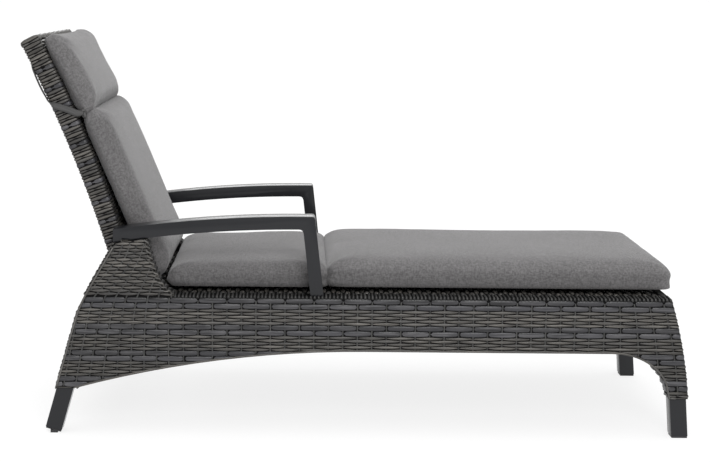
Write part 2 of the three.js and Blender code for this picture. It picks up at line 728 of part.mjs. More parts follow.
function leaningPad(foot, angle, length, thickness, chamfer) {
  const front = foot.clone().addScaledVector(slopeOut(angle), thickness);
  return pad([
    foot,
    front,
    front.clone().addScaledVector(slopeUp(angle), length),
    foot.clone().addScaledVector(slopeUp(angle), length),
  ], backPadHalfWidth, chamfer);
}
addPiece('back_cushion', leaningPad(backPadFoot, backPadAngle, backPadLength, backPadThickness, 14),
  finish.fabric);
const headPadFoot = backPadFoot.clone().addScaledVector(slopeUp(backPadAngle), backPadLength + seamGap);
addPiece('head_cushion', leaningPad(headPadFoot, headPadAngle, headPadLength, headPadThickness, 14),
  finish.fabric);

// ---------------------------------------------------------------- strap round the backrest

function strapSolid() {
  const half = backThickness / 2;
  const sideReach = backHalfWidth + gap + strapThickness;
  const rearFace = -half - strapStandoff - strapThickness;
  const sideTab = box(rearFace, half, backHalfWidth + gap, sideReach, -strapWidth / 2, strapWidth / 2);
  const rearRun = Math.hypot(sideReach, strapRise);
  const rearBand = box(rearFace, rearFace + strapThickness, -rearRun / 2, rearRun / 2, -strapWidth / 2,
    strapWidth / 2);
  rearBand.rotateX(-Math.atan2(strapRise, sideReach));
  rearBand.translate(0, sideReach / 2, strapRise / 2);
  const trimmed = keepInside(rearBand, box(rearFace - 1, half, -1, sideReach, -strapWidth, strapRise + 40));
  return onBack(join(sideTab, mirrored(sideTab), trimmed, mirrored(trimmed)), strapStation, 0);
}
addPiece('head_strap', strapSolid(), finish.fabric);

// ---------------------------------------------------------------- centre on the origin

const bounds = new THREE.Box3().setFromObject(lounger);
lounger.position.x = -(bounds.min.x + bounds.max.x) / 2;

export default lounger;
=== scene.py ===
"""Looks of the reclining sun lounger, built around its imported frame.

Metres throughout: +X points to the foot end, +Y to the sitter's left, +Z up.
"""

from __future__ import annotations

import json
import logging
import math
from collections.abc import Iterator, Sequence
from dataclasses import dataclass, field
from enum import Enum

import bpy
import numpy as np
from mathutils import Matrix, Vector
from mathutils.bvhtree import BVHTree

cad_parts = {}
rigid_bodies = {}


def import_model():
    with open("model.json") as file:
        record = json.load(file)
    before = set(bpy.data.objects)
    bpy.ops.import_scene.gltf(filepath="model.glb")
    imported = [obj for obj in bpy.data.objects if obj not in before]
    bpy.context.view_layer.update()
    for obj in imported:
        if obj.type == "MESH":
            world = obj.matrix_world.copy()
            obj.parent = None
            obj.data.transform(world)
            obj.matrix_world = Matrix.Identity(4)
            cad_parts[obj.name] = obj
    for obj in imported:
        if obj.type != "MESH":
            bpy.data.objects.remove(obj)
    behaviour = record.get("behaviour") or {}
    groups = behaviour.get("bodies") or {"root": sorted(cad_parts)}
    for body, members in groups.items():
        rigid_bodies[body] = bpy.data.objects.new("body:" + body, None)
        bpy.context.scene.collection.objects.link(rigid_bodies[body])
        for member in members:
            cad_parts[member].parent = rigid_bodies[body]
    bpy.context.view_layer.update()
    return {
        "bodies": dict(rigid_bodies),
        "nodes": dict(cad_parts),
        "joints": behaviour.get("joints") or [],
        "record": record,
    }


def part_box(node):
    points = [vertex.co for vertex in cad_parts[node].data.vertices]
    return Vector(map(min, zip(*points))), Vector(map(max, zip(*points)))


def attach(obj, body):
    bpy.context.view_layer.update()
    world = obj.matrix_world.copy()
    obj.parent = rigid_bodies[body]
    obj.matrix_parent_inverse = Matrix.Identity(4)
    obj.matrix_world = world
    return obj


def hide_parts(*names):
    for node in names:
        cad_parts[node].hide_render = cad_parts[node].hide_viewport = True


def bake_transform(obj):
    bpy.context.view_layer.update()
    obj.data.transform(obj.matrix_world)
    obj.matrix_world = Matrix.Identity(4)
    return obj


LOG = logging.getLogger("lounger")
SEED = 20
LAY = "lay"


# ---------------------------------------------------------------- shader maths


class Sock:
    """A node socket that adds Math nodes when it meets an operator."""

    def __init__(self, painter: Painter, socket: bpy.types.NodeSocket) -> None:
        """Keep the painter that owns the nodes, and the socket."""
        self.painter = painter
        self.socket = socket

    def _math(self, operation: str, first: object, second: object) -> Sock:
        """Add one Math node on two values."""
        return self.painter.node("ShaderNodeMath", {"operation": operation}, {0: first, 1: second})

    def __add__(self, other: object) -> Sock:
        """Sum with the value on the right."""
        return self._math("ADD", self, other)

    def __radd__(self, other: object) -> Sock:
        """Sum with the value on the left."""
        return self._math("ADD", other, self)

    def __sub__(self, other: object) -> Sock:
        """Difference from the value on the right."""
        return self._math("SUBTRACT", self, other)

    def __rsub__(self, other: object) -> Sock:
        """Difference of the value on the left from this one."""
        return self._math("SUBTRACT", other, self)

    def __mul__(self, other: object) -> Sock:
        """Product with the value on the right."""
        return self._math("MULTIPLY", self, other)

    def __rmul__(self, other: object) -> Sock:
        """Product with the value on the left."""
        return self._math("MULTIPLY", other, self)

    def above(self, low: float, high: float) -> Sock:
        """Smooth step from 0 at low to 1 at high.

        Args:
            low: Value that gives 0.
            high: Value that gives 1.

        Returns:
            The stepped socket.
        """
        settings = {"interpolation_type": "SMOOTHSTEP"}
        return self.painter.node("ShaderNodeMapRange", settings, {0: self, 1: low, 2: high, 3: 0.0, 4: 1.0})


class Painter:
    """Builds the nodes of one material."""

    def __init__(self, name: str) -> None:
        """Start an empty material with a Principled shader.

        Args:
            name: Name of the material.
        """
        self.material = bpy.data.materials.new(name)
        self.material.use_nodes = True
        self.tree = self.material.node_tree
        self.tree.nodes.clear()
        self.shader = self.tree.nodes.new("ShaderNodeBsdfPrincipled")
        output = self.tree.nodes.new("ShaderNodeOutputMaterial")
        self.tree.links.new(self.shader.outputs[0], output.inputs[0])

    def _feed(self, target: bpy.types.NodeSocket, value: object) -> None:
        """Link a socket or set a plain value."""
        if isinstance(value, Sock):
            self.tree.links.new(value.socket, target)
        else:
            target.default_value = value

    def node(self, kind: str, settings: dict[str, object] | None = None,
             inputs: dict[int | str, object] | None = None, output: int | str = 0) -> Sock:
        """Add a node.

        Args:
            kind: Type name of the node.
            settings: Its settings, set before its sockets.
            inputs: Values or links of its sockets, by index or name.
            output: The output that is returned.

        Returns:
            The chosen output.
        """
        made = self.tree.nodes.new(kind)
        for key, value in (settings or {}).items():
            setattr(made, key, value)
        for key, value in (inputs or {}).items():
            self._feed(made.inputs[key], value)
        return Sock(self, made.outputs[output])

    def _split(self, vector: Sock) -> tuple[Sock, Sock, Sock]:
        """The three numbers of a vector."""
        outputs = self.node("ShaderNodeSeparateXYZ", inputs={0: vector}).socket.node.outputs
        return tuple(Sock(self, outputs[index]) for index in range(3))

    def lay(self) -> tuple[Sock, Sock, Sock]:
        """The three numbers of the mesh's own lay attribute."""
        return self._split(self.node("ShaderNodeAttribute", {"attribute_name": LAY}, output="Vector"))

    def place(self) -> tuple[Sock, Sock, Sock]:
        """The three object coordinates."""
        return self._split(self.node("ShaderNodeTexCoord", output="Object"))

    def vector(self, x: object, y: object, z: object) -> Sock:
        """A vector of three values."""
        return self.node("ShaderNodeCombineXYZ", inputs={0: x, 1: y, 2: z})

    def noise(self, vector: Sock, scale: float, detail: float = 2.0, roughness: float = 0.5) -> Sock:
        """A noise value around 0.5.

        Args:
            vector: Where it is read.
            scale: Its scale.
            detail: Its octaves.
            roughness: How strong the fine octaves are.

        Returns:
            The noise.
        """
        inputs = {"Vector": vector, "Scale": scale, "Detail": detail, "Roughness": roughness}
        return self.node("ShaderNodeTexNoise", None, inputs, "Fac")

    def wave(self, value: Sock, length: float) -> Sock:
        """A sine wave of a length over a value."""
        return self.node("ShaderNodeMath", {"operation": "SINE"}, {0: value * (math.tau / length)})

    def mix(self, factor: object, first: object, second: object) -> Sock:
        """A colour between two.

        Args:
            factor: 0 gives the first, 1 the second.
            first: Colour or socket.
            second: Colour or socket.

        Returns:
            The mixed colour.
        """
        inputs = {0: factor, 6: first, 7: second}
        return self.node("ShaderNodeMix", {"data_type": "RGBA"}, inputs, 2)

    def scaled(self, colour: Sock, factor: Sock) -> Sock:
        """A colour times a number."""
        return self.node("ShaderNodeVectorMath", {"operation": "SCALE"}, {0: colour, "Scale": factor})

    def bump(self, height: Sock, distance: float, strength: float = 1.0) -> Sock:
        """A normal from a height.

        Args:
            height: Height from 0 to 1.
            distance: Height of 1, in metres.
            strength: Share of the effect.

        Returns:
            The normal.
        """
        inputs = {"Height": height, "Distance": distance, "Strength": strength}
        return self.node("ShaderNodeBump", None, inputs)

    def finish(self, **values: object) -> bpy.types.Material:
        """Set the shader's sockets.

        Args:
            values: Socket names with _ for a space.

        Returns:
            The material.
        """
        for key, value in values.items():
            self._feed(self.shader.inputs[key.replace("_", " ")], value)
        return self.material


Colour = tuple[float, float, float, float]


def grey(red: float, green: float, blue: float) -> Colour:
    """A linear colour."""
    return (red, green, blue, 1.0)


# ---------------------------------------------------------------- finishes


@dataclass(frozen=True)
class Rattan:
    """Extruded resin strand: streaks along it, a tone of its own, a soft shine, and painted shade that
    darkens it towards its edges.
    """

    name: str
    dark: Colour
    light: Colour
    tint: Colour
    roughness: float = 0.42
    gain: float = 1.0
    shine: float = 0.42
    # rim: share of painted shade that darkens the strand towards its edges
    rim: float = 0.50

    def material(self) -> bpy.types.Material:
        """Build the material.

        Returns:
            The finished material.
        """
        paint = Painter(self.name)
        along, across, tone = paint.lay()
        streak = paint.noise(paint.vector(along * 14.0, across * 1.6, tone * 61.0), 1.0, 3.0, 0.6)
        fibre = paint.noise(paint.vector(along * 55.0, across * 7.0, tone * 83.0), 1.0, 2.0, 0.6)
        patch = paint.noise(paint.vector(along * 5.0, tone * 29.0, 0.0), 1.0, 1.0)
        body = paint.mix(streak.above(0.30, 0.72), self.dark, self.light)
        body = paint.mix(patch.above(0.42, 0.66) * 0.7, body, self.tint)
        # Painted shade: the colour darkens towards the strand's edges, by rim.
        edge = 1.0 - (across * across) * self.rim
        level = (0.52 + tone * 0.62 + (fibre - 0.5) * 0.8) * edge * self.gain
        gloss = self.roughness + (streak - 0.5) * 0.25
        relief = paint.bump(fibre * 0.7 + streak * 0.3, 0.0004, 0.7)
        return paint.finish(Base_Color=paint.scaled(body, level), Roughness=gloss, Normal=relief,
                            Specular_IOR_Level=self.shine)


@dataclass(frozen=True)
class ShadedUnderWeave:
    """Inside of a woven panel, seen only between strands and from below, painted near-black as the shade in
    the gaps between strands.
    """

    name: str
    dark: Colour
    light: Colour
    pitch: float = 0.0085

    def material(self) -> bpy.types.Material:
        """Build the material.

        Returns:
            The finished material.
        """
        paint = Painter(self.name)
        x, y, z = paint.place()
        rows = (paint.wave(z, self.pitch) + 1.0) * 0.5
        cloud = paint.noise(paint.vector(x * 30.0, y * 30.0, z * 110.0), 1.0, 3.0)
        # Painted shade: near-black colours stand in for the shade seen between the strands.
        colour = paint.mix(rows * 0.5 + cloud * 0.5, self.dark, self.light)
        return paint.finish(Base_Color=colour, Roughness=0.55 + cloud * 0.2,
                            Normal=paint.bump(rows, 0.001, 0.8), Specular_IOR_Level=0.08)


@dataclass(frozen=True)
class Melange:
    """Woven outdoor fabric of light and dark yarns, with slubs along the pad."""

    name: str
    dark: Colour
    light: Colour
    yarn_pitch: float = 0.0016

    def material(self) -> bpy.types.Material:
        """Build the material.

        Returns:
            The finished material.
        """
        paint = Painter(self.name)
        along, across, rise = paint.lay()
        slub = paint.noise(paint.vector(along * 130.0, across * 300.0, rise * 300.0), 1.0, 3.0, 0.65)
        weft = paint.noise(paint.vector(along * 260.0, across * 120.0, rise * 120.0), 1.0, 2.0, 0.6)
        cloud = paint.noise(paint.vector(along * 9.0, across * 14.0, rise * 14.0), 1.0, 2.0)
        weave = paint.wave(along, self.yarn_pitch) * paint.wave(across + rise, self.yarn_pitch) * 0.5 + 0.5
        yarn = slub * 0.50 + weft * 0.42 + weave * 0.08
        colour = paint.mix(yarn.above(0.34, 0.66), self.dark, self.light)
        level = 0.9 + (cloud - 0.5) * 0.22
        relief = paint.bump(yarn * 0.8 + weave * 0.2, 0.0009, 0.6)
        return paint.finish(Base_Color=paint.scaled(colour, level), Roughness=0.86 + (slub - 0.5) * 0.1,
                            Normal=relief, Sheen_Weight=0.25, Sheen_Roughness=0.5, Specular_IOR_Level=0.2)


@dataclass(frozen=True)
class Coated:
    """Powder-coated aluminium with a fine orange peel and rubbed patches."""

    name: str
    colour: Colour
    worn: Colour
    roughness: float = 0.36

    def material(self) -> bpy.types.Material:
        """Build the material.

        Returns:
            The finished material.
        """
        paint = Painter(self.name)
        place = paint.vector(*paint.place())
        peel = paint.noise(place, 900.0, 2.0)
        cloud = paint.noise(place, 7.0, 3.0)
        scuff = paint.noise(place, 60.0, 4.0, 0.7).above(0.66, 0.78)
        colour = paint.mix(scuff * 0.18 + (cloud - 0.4) * 0.25, self.colour, self.worn)
        rough = self.roughness + (cloud - 0.5) * 0.14 + scuff * 0.08
        return paint.finish(Base_Color=colour, Roughness=rough, Normal=paint.bump(peel, 0.0002, 0.5),
                            Specular_IOR_Level=0.05, Coat_Weight=0.55, Coat_Roughness=0.18)


@dataclass(frozen=True)
class Brushed:
    """Zinc-plated steel with fine brush lines."""

    name: str
    colour: Colour
    dull: Colour

    def material(self) -> bpy.types.Material:
        """Build the material.

        Returns:
            The finished material.
        """
        paint = Painter(self.name)
        x, y, z = paint.place()
        lines = paint.noise(paint.vector(x * 700.0, y * 40.0, z * 40.0), 1.0, 2.0)
        cloud = paint.noise(paint.vector(x, y, z), 25.0, 3.0)
        colour = paint.mix(cloud, self.colour, self.dull)
        return paint.finish(Base_Color=colour, Metallic=0.95, Roughness=0.3 + lines * 0.2,
                            Normal=paint.bump(lines, 0.0001, 0.4))


@dataclass(frozen=True)
class Moulded:
    """Moulded plastic with a fine spark texture."""

    name: str
    colour: Colour
    light: Colour

    def material(self) -> bpy.types.Material:
        """Build the material.

        Returns:
            The finished material.
        """
        paint = Painter(self.name)
        place = paint.vector(*paint.place())
        spark = paint.noise(place, 1500.0, 2.0)
        cloud = paint.noise(place, 20.0, 2.0)
        colour = paint.mix(cloud, self.colour, self.light)
        return paint.finish(Base_Color=colour, Roughness=0.5 + cloud * 0.15,
                            Normal=paint.bump(spark, 0.0002, 0.5))


@dataclass(frozen=True)
class PaleFloor:
    """Plain pale floor with a trace of unevenness; it glows, painted light that brightens it and fills the
    shadow cast on it.
    """

    name: str
    colour: Colour
    light: Colour
    glow: float = 0.80

    def material(self) -> bpy.types.Material:
        """Build the material.

        Returns:
            The finished material.
        """
        paint = Painter(self.name)
        cloud = paint.noise(paint.vector(*paint.place()), 0.6, 2.0)
        # The emission glow is painted light: the floor lights itself and fills the shadow cast on it.
        return paint.finish(Base_Color=paint.mix(cloud, self.colour, self.light), Roughness=0.9,
                            Specular_IOR_Level=0.1, Emission_Color=grey(1.0, 1.0, 1.0),
                            Emission_Strength=self.glow)


class Look(Enum):
    """Finishes of the lounger."""

    NARROW = Rattan("narrow_strand", grey(0.020, 0.018, 0.016), grey(0.150, 0.140, 0.126),
                    grey(0.060, 0.058, 0.056))
    WIDE = Rattan("wide_strand", grey(0.018, 0.018, 0.020), grey(0.100, 0.098, 0.104),
                  grey(0.046, 0.046, 0.053), roughness=0.36, rim=0.30)
    STAKE = Rattan("stake_strand", grey(0.018, 0.018, 0.018), grey(0.075, 0.073, 0.069),
                   grey(0.040, 0.040, 0.040))
    # Darker copy of the strand: painted shade for strands that lie in shade, the wraps on the rail top,
    # under the arch and over the foot rim, and the braid's inner strands.
    HEM_SHADE = Rattan("hem_strand_shade", grey(0.009, 0.009, 0.009), grey(0.060, 0.058, 0.055),
                 grey(0.026, 0.026, 0.026))
    BORDER = Rattan("border_strand", grey(0.045, 0.042, 0.039), grey(0.190, 0.180, 0.166),
                    grey(0.110, 0.107, 0.102))
    # Near-black painted shade for the woven frame nodes that show between the strands.
    UNDER_SHADE = ShadedUnderWeave("under_weave_shade", grey(0.001, 0.001, 0.001), grey(0.006, 0.006, 0.006))
    FABRIC = Melange("melange_fabric", grey(0.086, 0.083, 0.084), grey(0.166, 0.161, 0.163))
    TAPE = Rattan("tie_tape", grey(0.040, 0.039, 0.039), grey(0.100, 0.097, 0.096),
                  grey(0.070, 0.070, 0.070), roughness=0.85)
    WELT = Rattan("welt_fabric", grey(0.110, 0.106, 0.107), grey(0.180, 0.175, 0.175),
                  grey(0.140, 0.137, 0.138), roughness=0.9, gain=1.1, shine=0.2, rim=0.2)
    METAL = Coated("coated_aluminium", grey(0.012, 0.0125, 0.0145), grey(0.026, 0.027, 0.030), 0.30)
    STEEL = Brushed("plated_steel", grey(0.42, 0.43, 0.45), grey(0.25, 0.25, 0.27))
    PLASTIC = Moulded("glide_plastic", grey(0.010, 0.010, 0.011), grey(0.022, 0.022, 0.024))
    FLOOR = PaleFloor("pale_floor", grey(0.19, 0.19, 0.19), grey(0.21, 0.21, 0.21))


_made: dict[str, bpy.types.Material] = {}


def dressed(look: Look) -> bpy.types.Material:
    """The material of a finish, made once.

    Args:
        look: The finish.

    Returns:
        Its material.
    """
    if look.name not in _made:
        _made[look.name] = look.value.material()
    return _made[look.name]


# ---------------------------------------------------------------- strands


SECTION = np.array([(-1.0, 0.0), (-0.70, 0.66), (0.0, 1.0), (0.70, 0.66), (1.0, 0.0), (0.5, -0.55),
                    (-0.5, -0.55)])
STRAND_LOOKS = (Look.NARROW, Look.WIDE, Look.STAKE, Look.HEM_SHADE, Look.BORDER)
ACROSS = np.array([0.0, 1.0, 0.0])
DRIFT = 0.06
TONE_RUN = 40.0


def smooth(value: np.ndarray) -> np.ndarray:
    """Smooth step from 0 to 1."""
    t = np.clip(value, 0.0, 1.0)
    return t * t * (3.0 - 2.0 * t)


def unit(rows: np.ndarray) -> np.ndarray:
    """Rows scaled to a length of 1."""
    return rows / np.linalg.norm(rows, axis=1)[:, None]


def run_along(points: np.ndarray) -> np.ndarray:
    """Distance of each point from the first, along the line through them."""
    steps = np.linalg.norm(np.diff(points, axis=0), axis=1)
    return np.concatenate([[0.0], np.cumsum(steps)])


class Grade(Enum):
    """Kinds of strand, by their place among the materials of a woven piece."""

    NARROW = 0
    WIDE = 1
    STAKE = 2
    # Strands that get the darker painted shade finish.
    HEM_SHADE = 3
    BORDER = 4


@dataclass
class Course:
    """Samples along one strand; all but the centre may be given once for the whole strand."""

    centre: np.ndarray
    side: np.ndarray
    out: np.ndarray
    half_width: np.ndarray | float
    thickness: np.ndarray | float
    grade: Grade
    closed: bool = False

    def __post_init__(self) -> None:
        """Repeat what is given once for every sample."""
        count = len(self.centre)
        self.side, self.out = (np.broadcast_to(each, (count, 3)) for each in (self.side, self.out))
        self.half_width, self.thickness = (np.broadcast_to(each, count)
                                           for each in (self.half_width, self.thickness))


class StrandMesh:
    """Collects strands and turns them into one mesh."""

    def __init__(self, seed: int) -> None:
        """Start with no strands.

        Args:
            seed: Seed of the strands' tones and drift.
        """
        self.points: list[np.ndarray] = []
        self.lays: list[np.ndarray] = []
        self.loops: list[np.ndarray] = []
        self.totals: list[np.ndarray] = []
        self.grades: list[np.ndarray] = []
        self.count = 0
        self.random = np.random.default_rng(seed)

    def add(self, course: Course) -> None:
        """Add one strand.

        Args:
            course: Its samples.
        """
        rings, ring = len(course.centre), len(SECTION)
        if rings < 3:
            return
        drift = self.random.uniform(-DRIFT, DRIFT) * course.half_width
        centre = course.centre + course.side * drift[:, None]
        across = course.side[:, None, :] * (SECTION[None, :, 0, None] * course.half_width[:, None, None])
        rise = course.out[:, None, :] * (SECTION[None, :, 1, None] * course.thickness[:, None, None])
        points = centre[:, None, :] + across + rise
        lay = np.empty((rings, ring, 3))
        lay[..., 0] = (run_along(centre) + self.random.uniform(0.0, TONE_RUN))[:, None]
        lay[..., 1] = SECTION[None, :, 0]
        lay[..., 2] = self.random.uniform(0.0, 1.0)
        first = np.arange(rings if course.closed else rings - 1)[:, None] * ring
        second = (first + ring) % (rings * ring)
        here = np.arange(ring)[None, :]
        beside = (here + 1) % ring
        a, b, c, d = first + here, first + beside, second + beside, second + here
        middle = rings // 2
        forward = centre[(middle + 1) % rings] - centre[middle]
        right_way = np.dot(np.cross(course.side[middle], course.out[middle]), forward) < 0
        order = (a, b, c, d) if right_way else (d, c, b, a)
        quads = np.stack(order, axis=-1).reshape(-1, 4)
        self.loops.append(quads.ravel() + self.count)
        self.totals.append(np.full(len(quads), 4))
        faces = len(quads)
        if not course.closed:
            start = np.arange(ring)
            end = (rings - 1) * ring + np.arange(ring)
            caps = (start[::-1], end) if right_way else (start, end[::-1])
            for cap in caps:
                self.loops.append(cap + self.count)
                self.totals.append(np.array([ring]))
            faces += 2
        self.grades.append(np.full(faces, course.grade.value))
        self.points.append(points.reshape(-1, 3))
        self.lays.append(lay.reshape(-1, 3))
        self.count += rings * ring

    def build(self, name: str, looks: Sequence[Look] = STRAND_LOOKS) -> bpy.types.Object:
        """Make the object.

        Args:
            name: Its name.
            looks: Finishes, in the order of the grades.

        Returns:
            The object, linked to the scene.
        """
        points = np.concatenate(self.points)
        loops = np.concatenate(self.loops)
        totals = np.concatenate(self.totals)
        mesh = bpy.data.meshes.new(name)
        mesh.vertices.add(len(points))
        mesh.vertices.foreach_set("co", points.astype(np.float32).ravel())
        mesh.loops.add(len(loops))
        mesh.loops.foreach_set("vertex_index", loops.astype(np.int32))
        mesh.polygons.add(len(totals))
        starts = np.concatenate([[0], np.cumsum(totals)[:-1]])
        mesh.polygons.foreach_set("loop_start", starts.astype(np.int32))
        mesh.update(calc_edges=True)
        for look in looks:
            mesh.materials.append(dressed(look))
        mesh.polygons.foreach_set("material_index", np.concatenate(self.grades).astype(np.int32))
        mesh.polygons.foreach_set("use_smooth", np.ones(len(totals), bool))
        lay = mesh.attributes.new(LAY, "FLOAT_VECTOR", "POINT")
        lay.data.foreach_set("vector", np.concatenate(self.lays).astype(np.float32).ravel())
        mesh.validate()
        made = bpy.data.objects.new(name, mesh)
        bpy.context.scene.collection.objects.link(made)
        return made


def woven(mesh: StrandMesh, name: str, body: str) -> bpy.types.Object:
    """Turn strands into a woven piece of a body.

    Args:
        mesh: The strands.
        name: Name of the piece.
        body: Body it rides.

    Returns:
        The piece.
    """
    piece = mesh.build(name)
    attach(piece, body)
    return piece


@dataclass(frozen=True)
class Trace:
    """Samples of a line with rounded corners in a plane: places, outward normals, run, and corner marks."""

    place: np.ndarray
    normal: np.ndarray
    run: np.ndarray
    turning: np.ndarray


def trace(corners: Sequence[tuple[float, float]], radius: float, step: float, closed: bool) -> Trace:
    """Sample a line whose outside lies on its right.

    Args:
        corners: Its corners.
        radius: Radius of the corners.
        step: Distance between samples on straight stretches.
        closed: Whether it returns to its start.

    Returns:
        The samples.
    """
    corner = np.array(corners, float)
    count = len(corner)
    places: list[np.ndarray] = []
    normals: list[np.ndarray] = []
    turning: list[np.ndarray] = []
    links = range(count) if closed else range(count - 1)
    for index in links:
        a, b = corner[index], corner[(index + 1) % count]
        along = (b - a) / np.linalg.norm(b - a)
        right = np.array([along[1], -along[0]])
        cut_a = radius if closed or index > 0 else 0.0
        cut_b = radius if closed or index < count - 2 else 0.0
        start, end = a + along * cut_a, b - along * cut_b
        pieces = max(int(round(np.linalg.norm(end - start) / step)), 1)
        shares = np.linspace(0.0, 1.0, pieces + 1)
        places.append(start + (end - start) * shares[:, None])
        normals.append(np.tile(right, (pieces + 1, 1)))
        turning.append(np.zeros(pieces + 1))
        if cut_b > 0:
            following = corner[(index + 2) % count] - b
            following = following / np.linalg.norm(following)
            bisector = right + np.array([following[1], -following[0]])
            bisector = bisector / np.linalg.norm(bisector)
            hub = end - right * radius
            places.append((hub + bisector * radius)[None, :])
            normals.append(bisector[None, :])
            turning.append(np.ones(1))
    place = np.concatenate(places)
    return Trace(place, np.concatenate(normals), run_along(place), np.concatenate(turning))


@dataclass(frozen=True)
class Plait:
    """How strands pass over and under their stakes."""

    stake_pitch: float = 0.0352
    lift: float = 0.0015
    crown: float = 0.0019
    sink: float = -0.0004
    crest_width: float = 1.04
    dive_width: float = 0.60
    sharpness: float = 3.6
    corner_height: float = 0.3
    wide_sharpness: float = 1.7
    wide_crest: float = 0.98
    wide_dive: float = 0.93
    wide_crown: float = 0.85
    radius: float = 0.0025
    step: float = 0.0062

    def crest(self, phase: np.ndarray, sharpness: float) -> np.ndarray:
        """Height of a strand from -1 behind a stake to 1 over one."""
        return 1.0 - 2.0 * np.abs(np.sin(phase / 2.0)) ** (2.0 * sharpness)

    def raised(self, phase: np.ndarray, turning: np.ndarray, half: np.ndarray,
               grade: Grade) -> tuple[np.ndarray, np.ndarray, np.ndarray]:
        """Offset, half width and crown along a strand.

        Args:
            phase: Angle that is 0 over a stake and pi behind one.
            turning: 1 at a corner.
            half: Half the height of its row.
            grade: Kind of strand.

        Returns:
            Offset out of the panel, half width, and crown.
        """
        wide = grade is Grade.WIDE
        height = self.crest(phase, self.sharpness * (self.wide_sharpness if wide else 1.0))
        height = np.where(turning > 0, np.maximum(height, self.corner_height), height)
        share = (np.cos(phase) + 1.0) / 2.0
        dive = self.wide_dive if wide else self.dive_width
        crest = self.wide_crest if wide else self.crest_width
        width = half * (dive + (crest - dive) * share)
        crown = self.crown * (self.wide_crown if wide else 1.0)
        return self.sink + self.lift * height, width, np.full(len(phase), crown)


@dataclass(frozen=True)
class RowPlan:
    """Rows of a woven panel: two wide strands, then some narrow ones, over and over."""

    wide: float = 0.0138
    narrow: float = 0.0076
    wide_rows: int = 2
    narrow_rows: int = 5

    def down(self, top: float, bottom: float) -> Iterator[tuple[float, float, Grade, int]]:
        """Rows from the top down.

        Args:
            top: Upper edge.
            bottom: Lower edge.

        Yields:
            Middle of the row, its height, its grade and its number.
        """
        cycle = [Grade.WIDE] * self.wide_rows + [Grade.NARROW] * self.narrow_rows
        level, number = top, 0
        while level > bottom + 0.002:
            grade = cycle[number % len(cycle)]
            height = self.wide if grade is Grade.WIDE else self.narrow
            height = min(height, level - bottom)
            yield level - height / 2.0, height, grade, number
            level -= height
            number += 1

    def narrow_only(self, bottom: float, top: float) -> Iterator[tuple[float, float, Grade, int]]:
        """Narrow rows from the bottom up.

        Args:
            bottom: Lower edge.
            top: Upper edge.

        Yields:
            Middle of the row, its height, its grade and its number.
        """
        count = int(round((top - bottom) / self.narrow))
        height = (top - bottom) / count
        for number in range(count):
            yield bottom + (number + 0.5) * height, height, Grade.NARROW, number


class SideOutline:
    """Outer face of a woven side as an outline in XZ."""

    def __init__(self, node: bpy.types.Object) -> None:
        """Read the outline from a frame node.

        Args:
            node: The node's object.
        """
        mesh = node.data
        mesh.calc_loop_triangles()
        co = np.array([v.co for v in mesh.vertices], float)
        reach = np.abs(co[:, 1]).max()
        key = {}
        merged = np.empty(len(co), int)
        for index, point in enumerate(np.round(co, 6)):
            merged[index] = key.setdefault(tuple(point), index)
        seen: dict[tuple[int, int], int] = {}
        for triangle in mesh.loop_triangles:
            a, b, c = (merged[v] for v in triangle.vertices)
            if min(abs(co[a, 1]), abs(co[b, 1]), abs(co[c, 1])) < reach - 1e-5:
                continue
            for edge in ((a, b), (b, c), (c, a)):
                name = (min(edge), max(edge))
                seen[name] = seen.get(name, 0) + 1
        edges = [name for name, uses in seen.items() if uses == 1]
        self.edges = np.array([[co[a][[0, 2]], co[b][[0, 2]]] for a, b in edges])
        self.reach = float(reach)
        self.grid = np.arange(co[:, 0].min() + 0.0005, co[:, 0].max(), 0.001)
        bounds = [self._crossings(x, 0) for x in self.grid]
        self.low = np.array([b[0] for b in bounds])
        self.high = np.array([b[-1] for b in bounds])

    def _crossings(self, value: float, axis: int) -> list[float]:
        """Where a straight line of constant x (axis 0) or z (axis 1) meets the outline.

        Args:
            value: The constant.
            axis: 0 for x, 1 for z.

        Returns:
            The other coordinates, in order.
        """
        first, second = self.edges[:, 0], self.edges[:, 1]
        hit = (first[:, axis] - value) * (second[:, axis] - value) < 0
        first, second = first[hit], second[hit]
        share = (value - first[:, axis]) / (second[:, axis] - first[:, axis])
        other = 1 - axis
        return sorted(first[:, other] + share * (second[:, other] - first[:, other]))

    def spans(self, z: float) -> list[tuple[float, float]]:
        """Stretches of x inside the outline at a height."""
        cuts = self._crossings(z + 1e-6, 1)
        return list(zip(cuts[::2], cuts[1::2]))

    def floor(self, x: np.ndarray) -> np.ndarray:
        """Lower edge over x."""
        return np.interp(x, self.grid, self.low)

    def ceiling(self, x: np.ndarray) -> np.ndarray:
        """Upper edge over x."""
        return np.interp(x, self.grid, self.high)


# ---------------------------------------------------------------- woven panels


ROW_DROP = 0.0035
EDGE_ROOM = 0.002
WRAP_BEND = 0.0022
WRAP_PITCH = 0.0092
TWIST_FLAT = 0.9
TOUCH = 1e-6


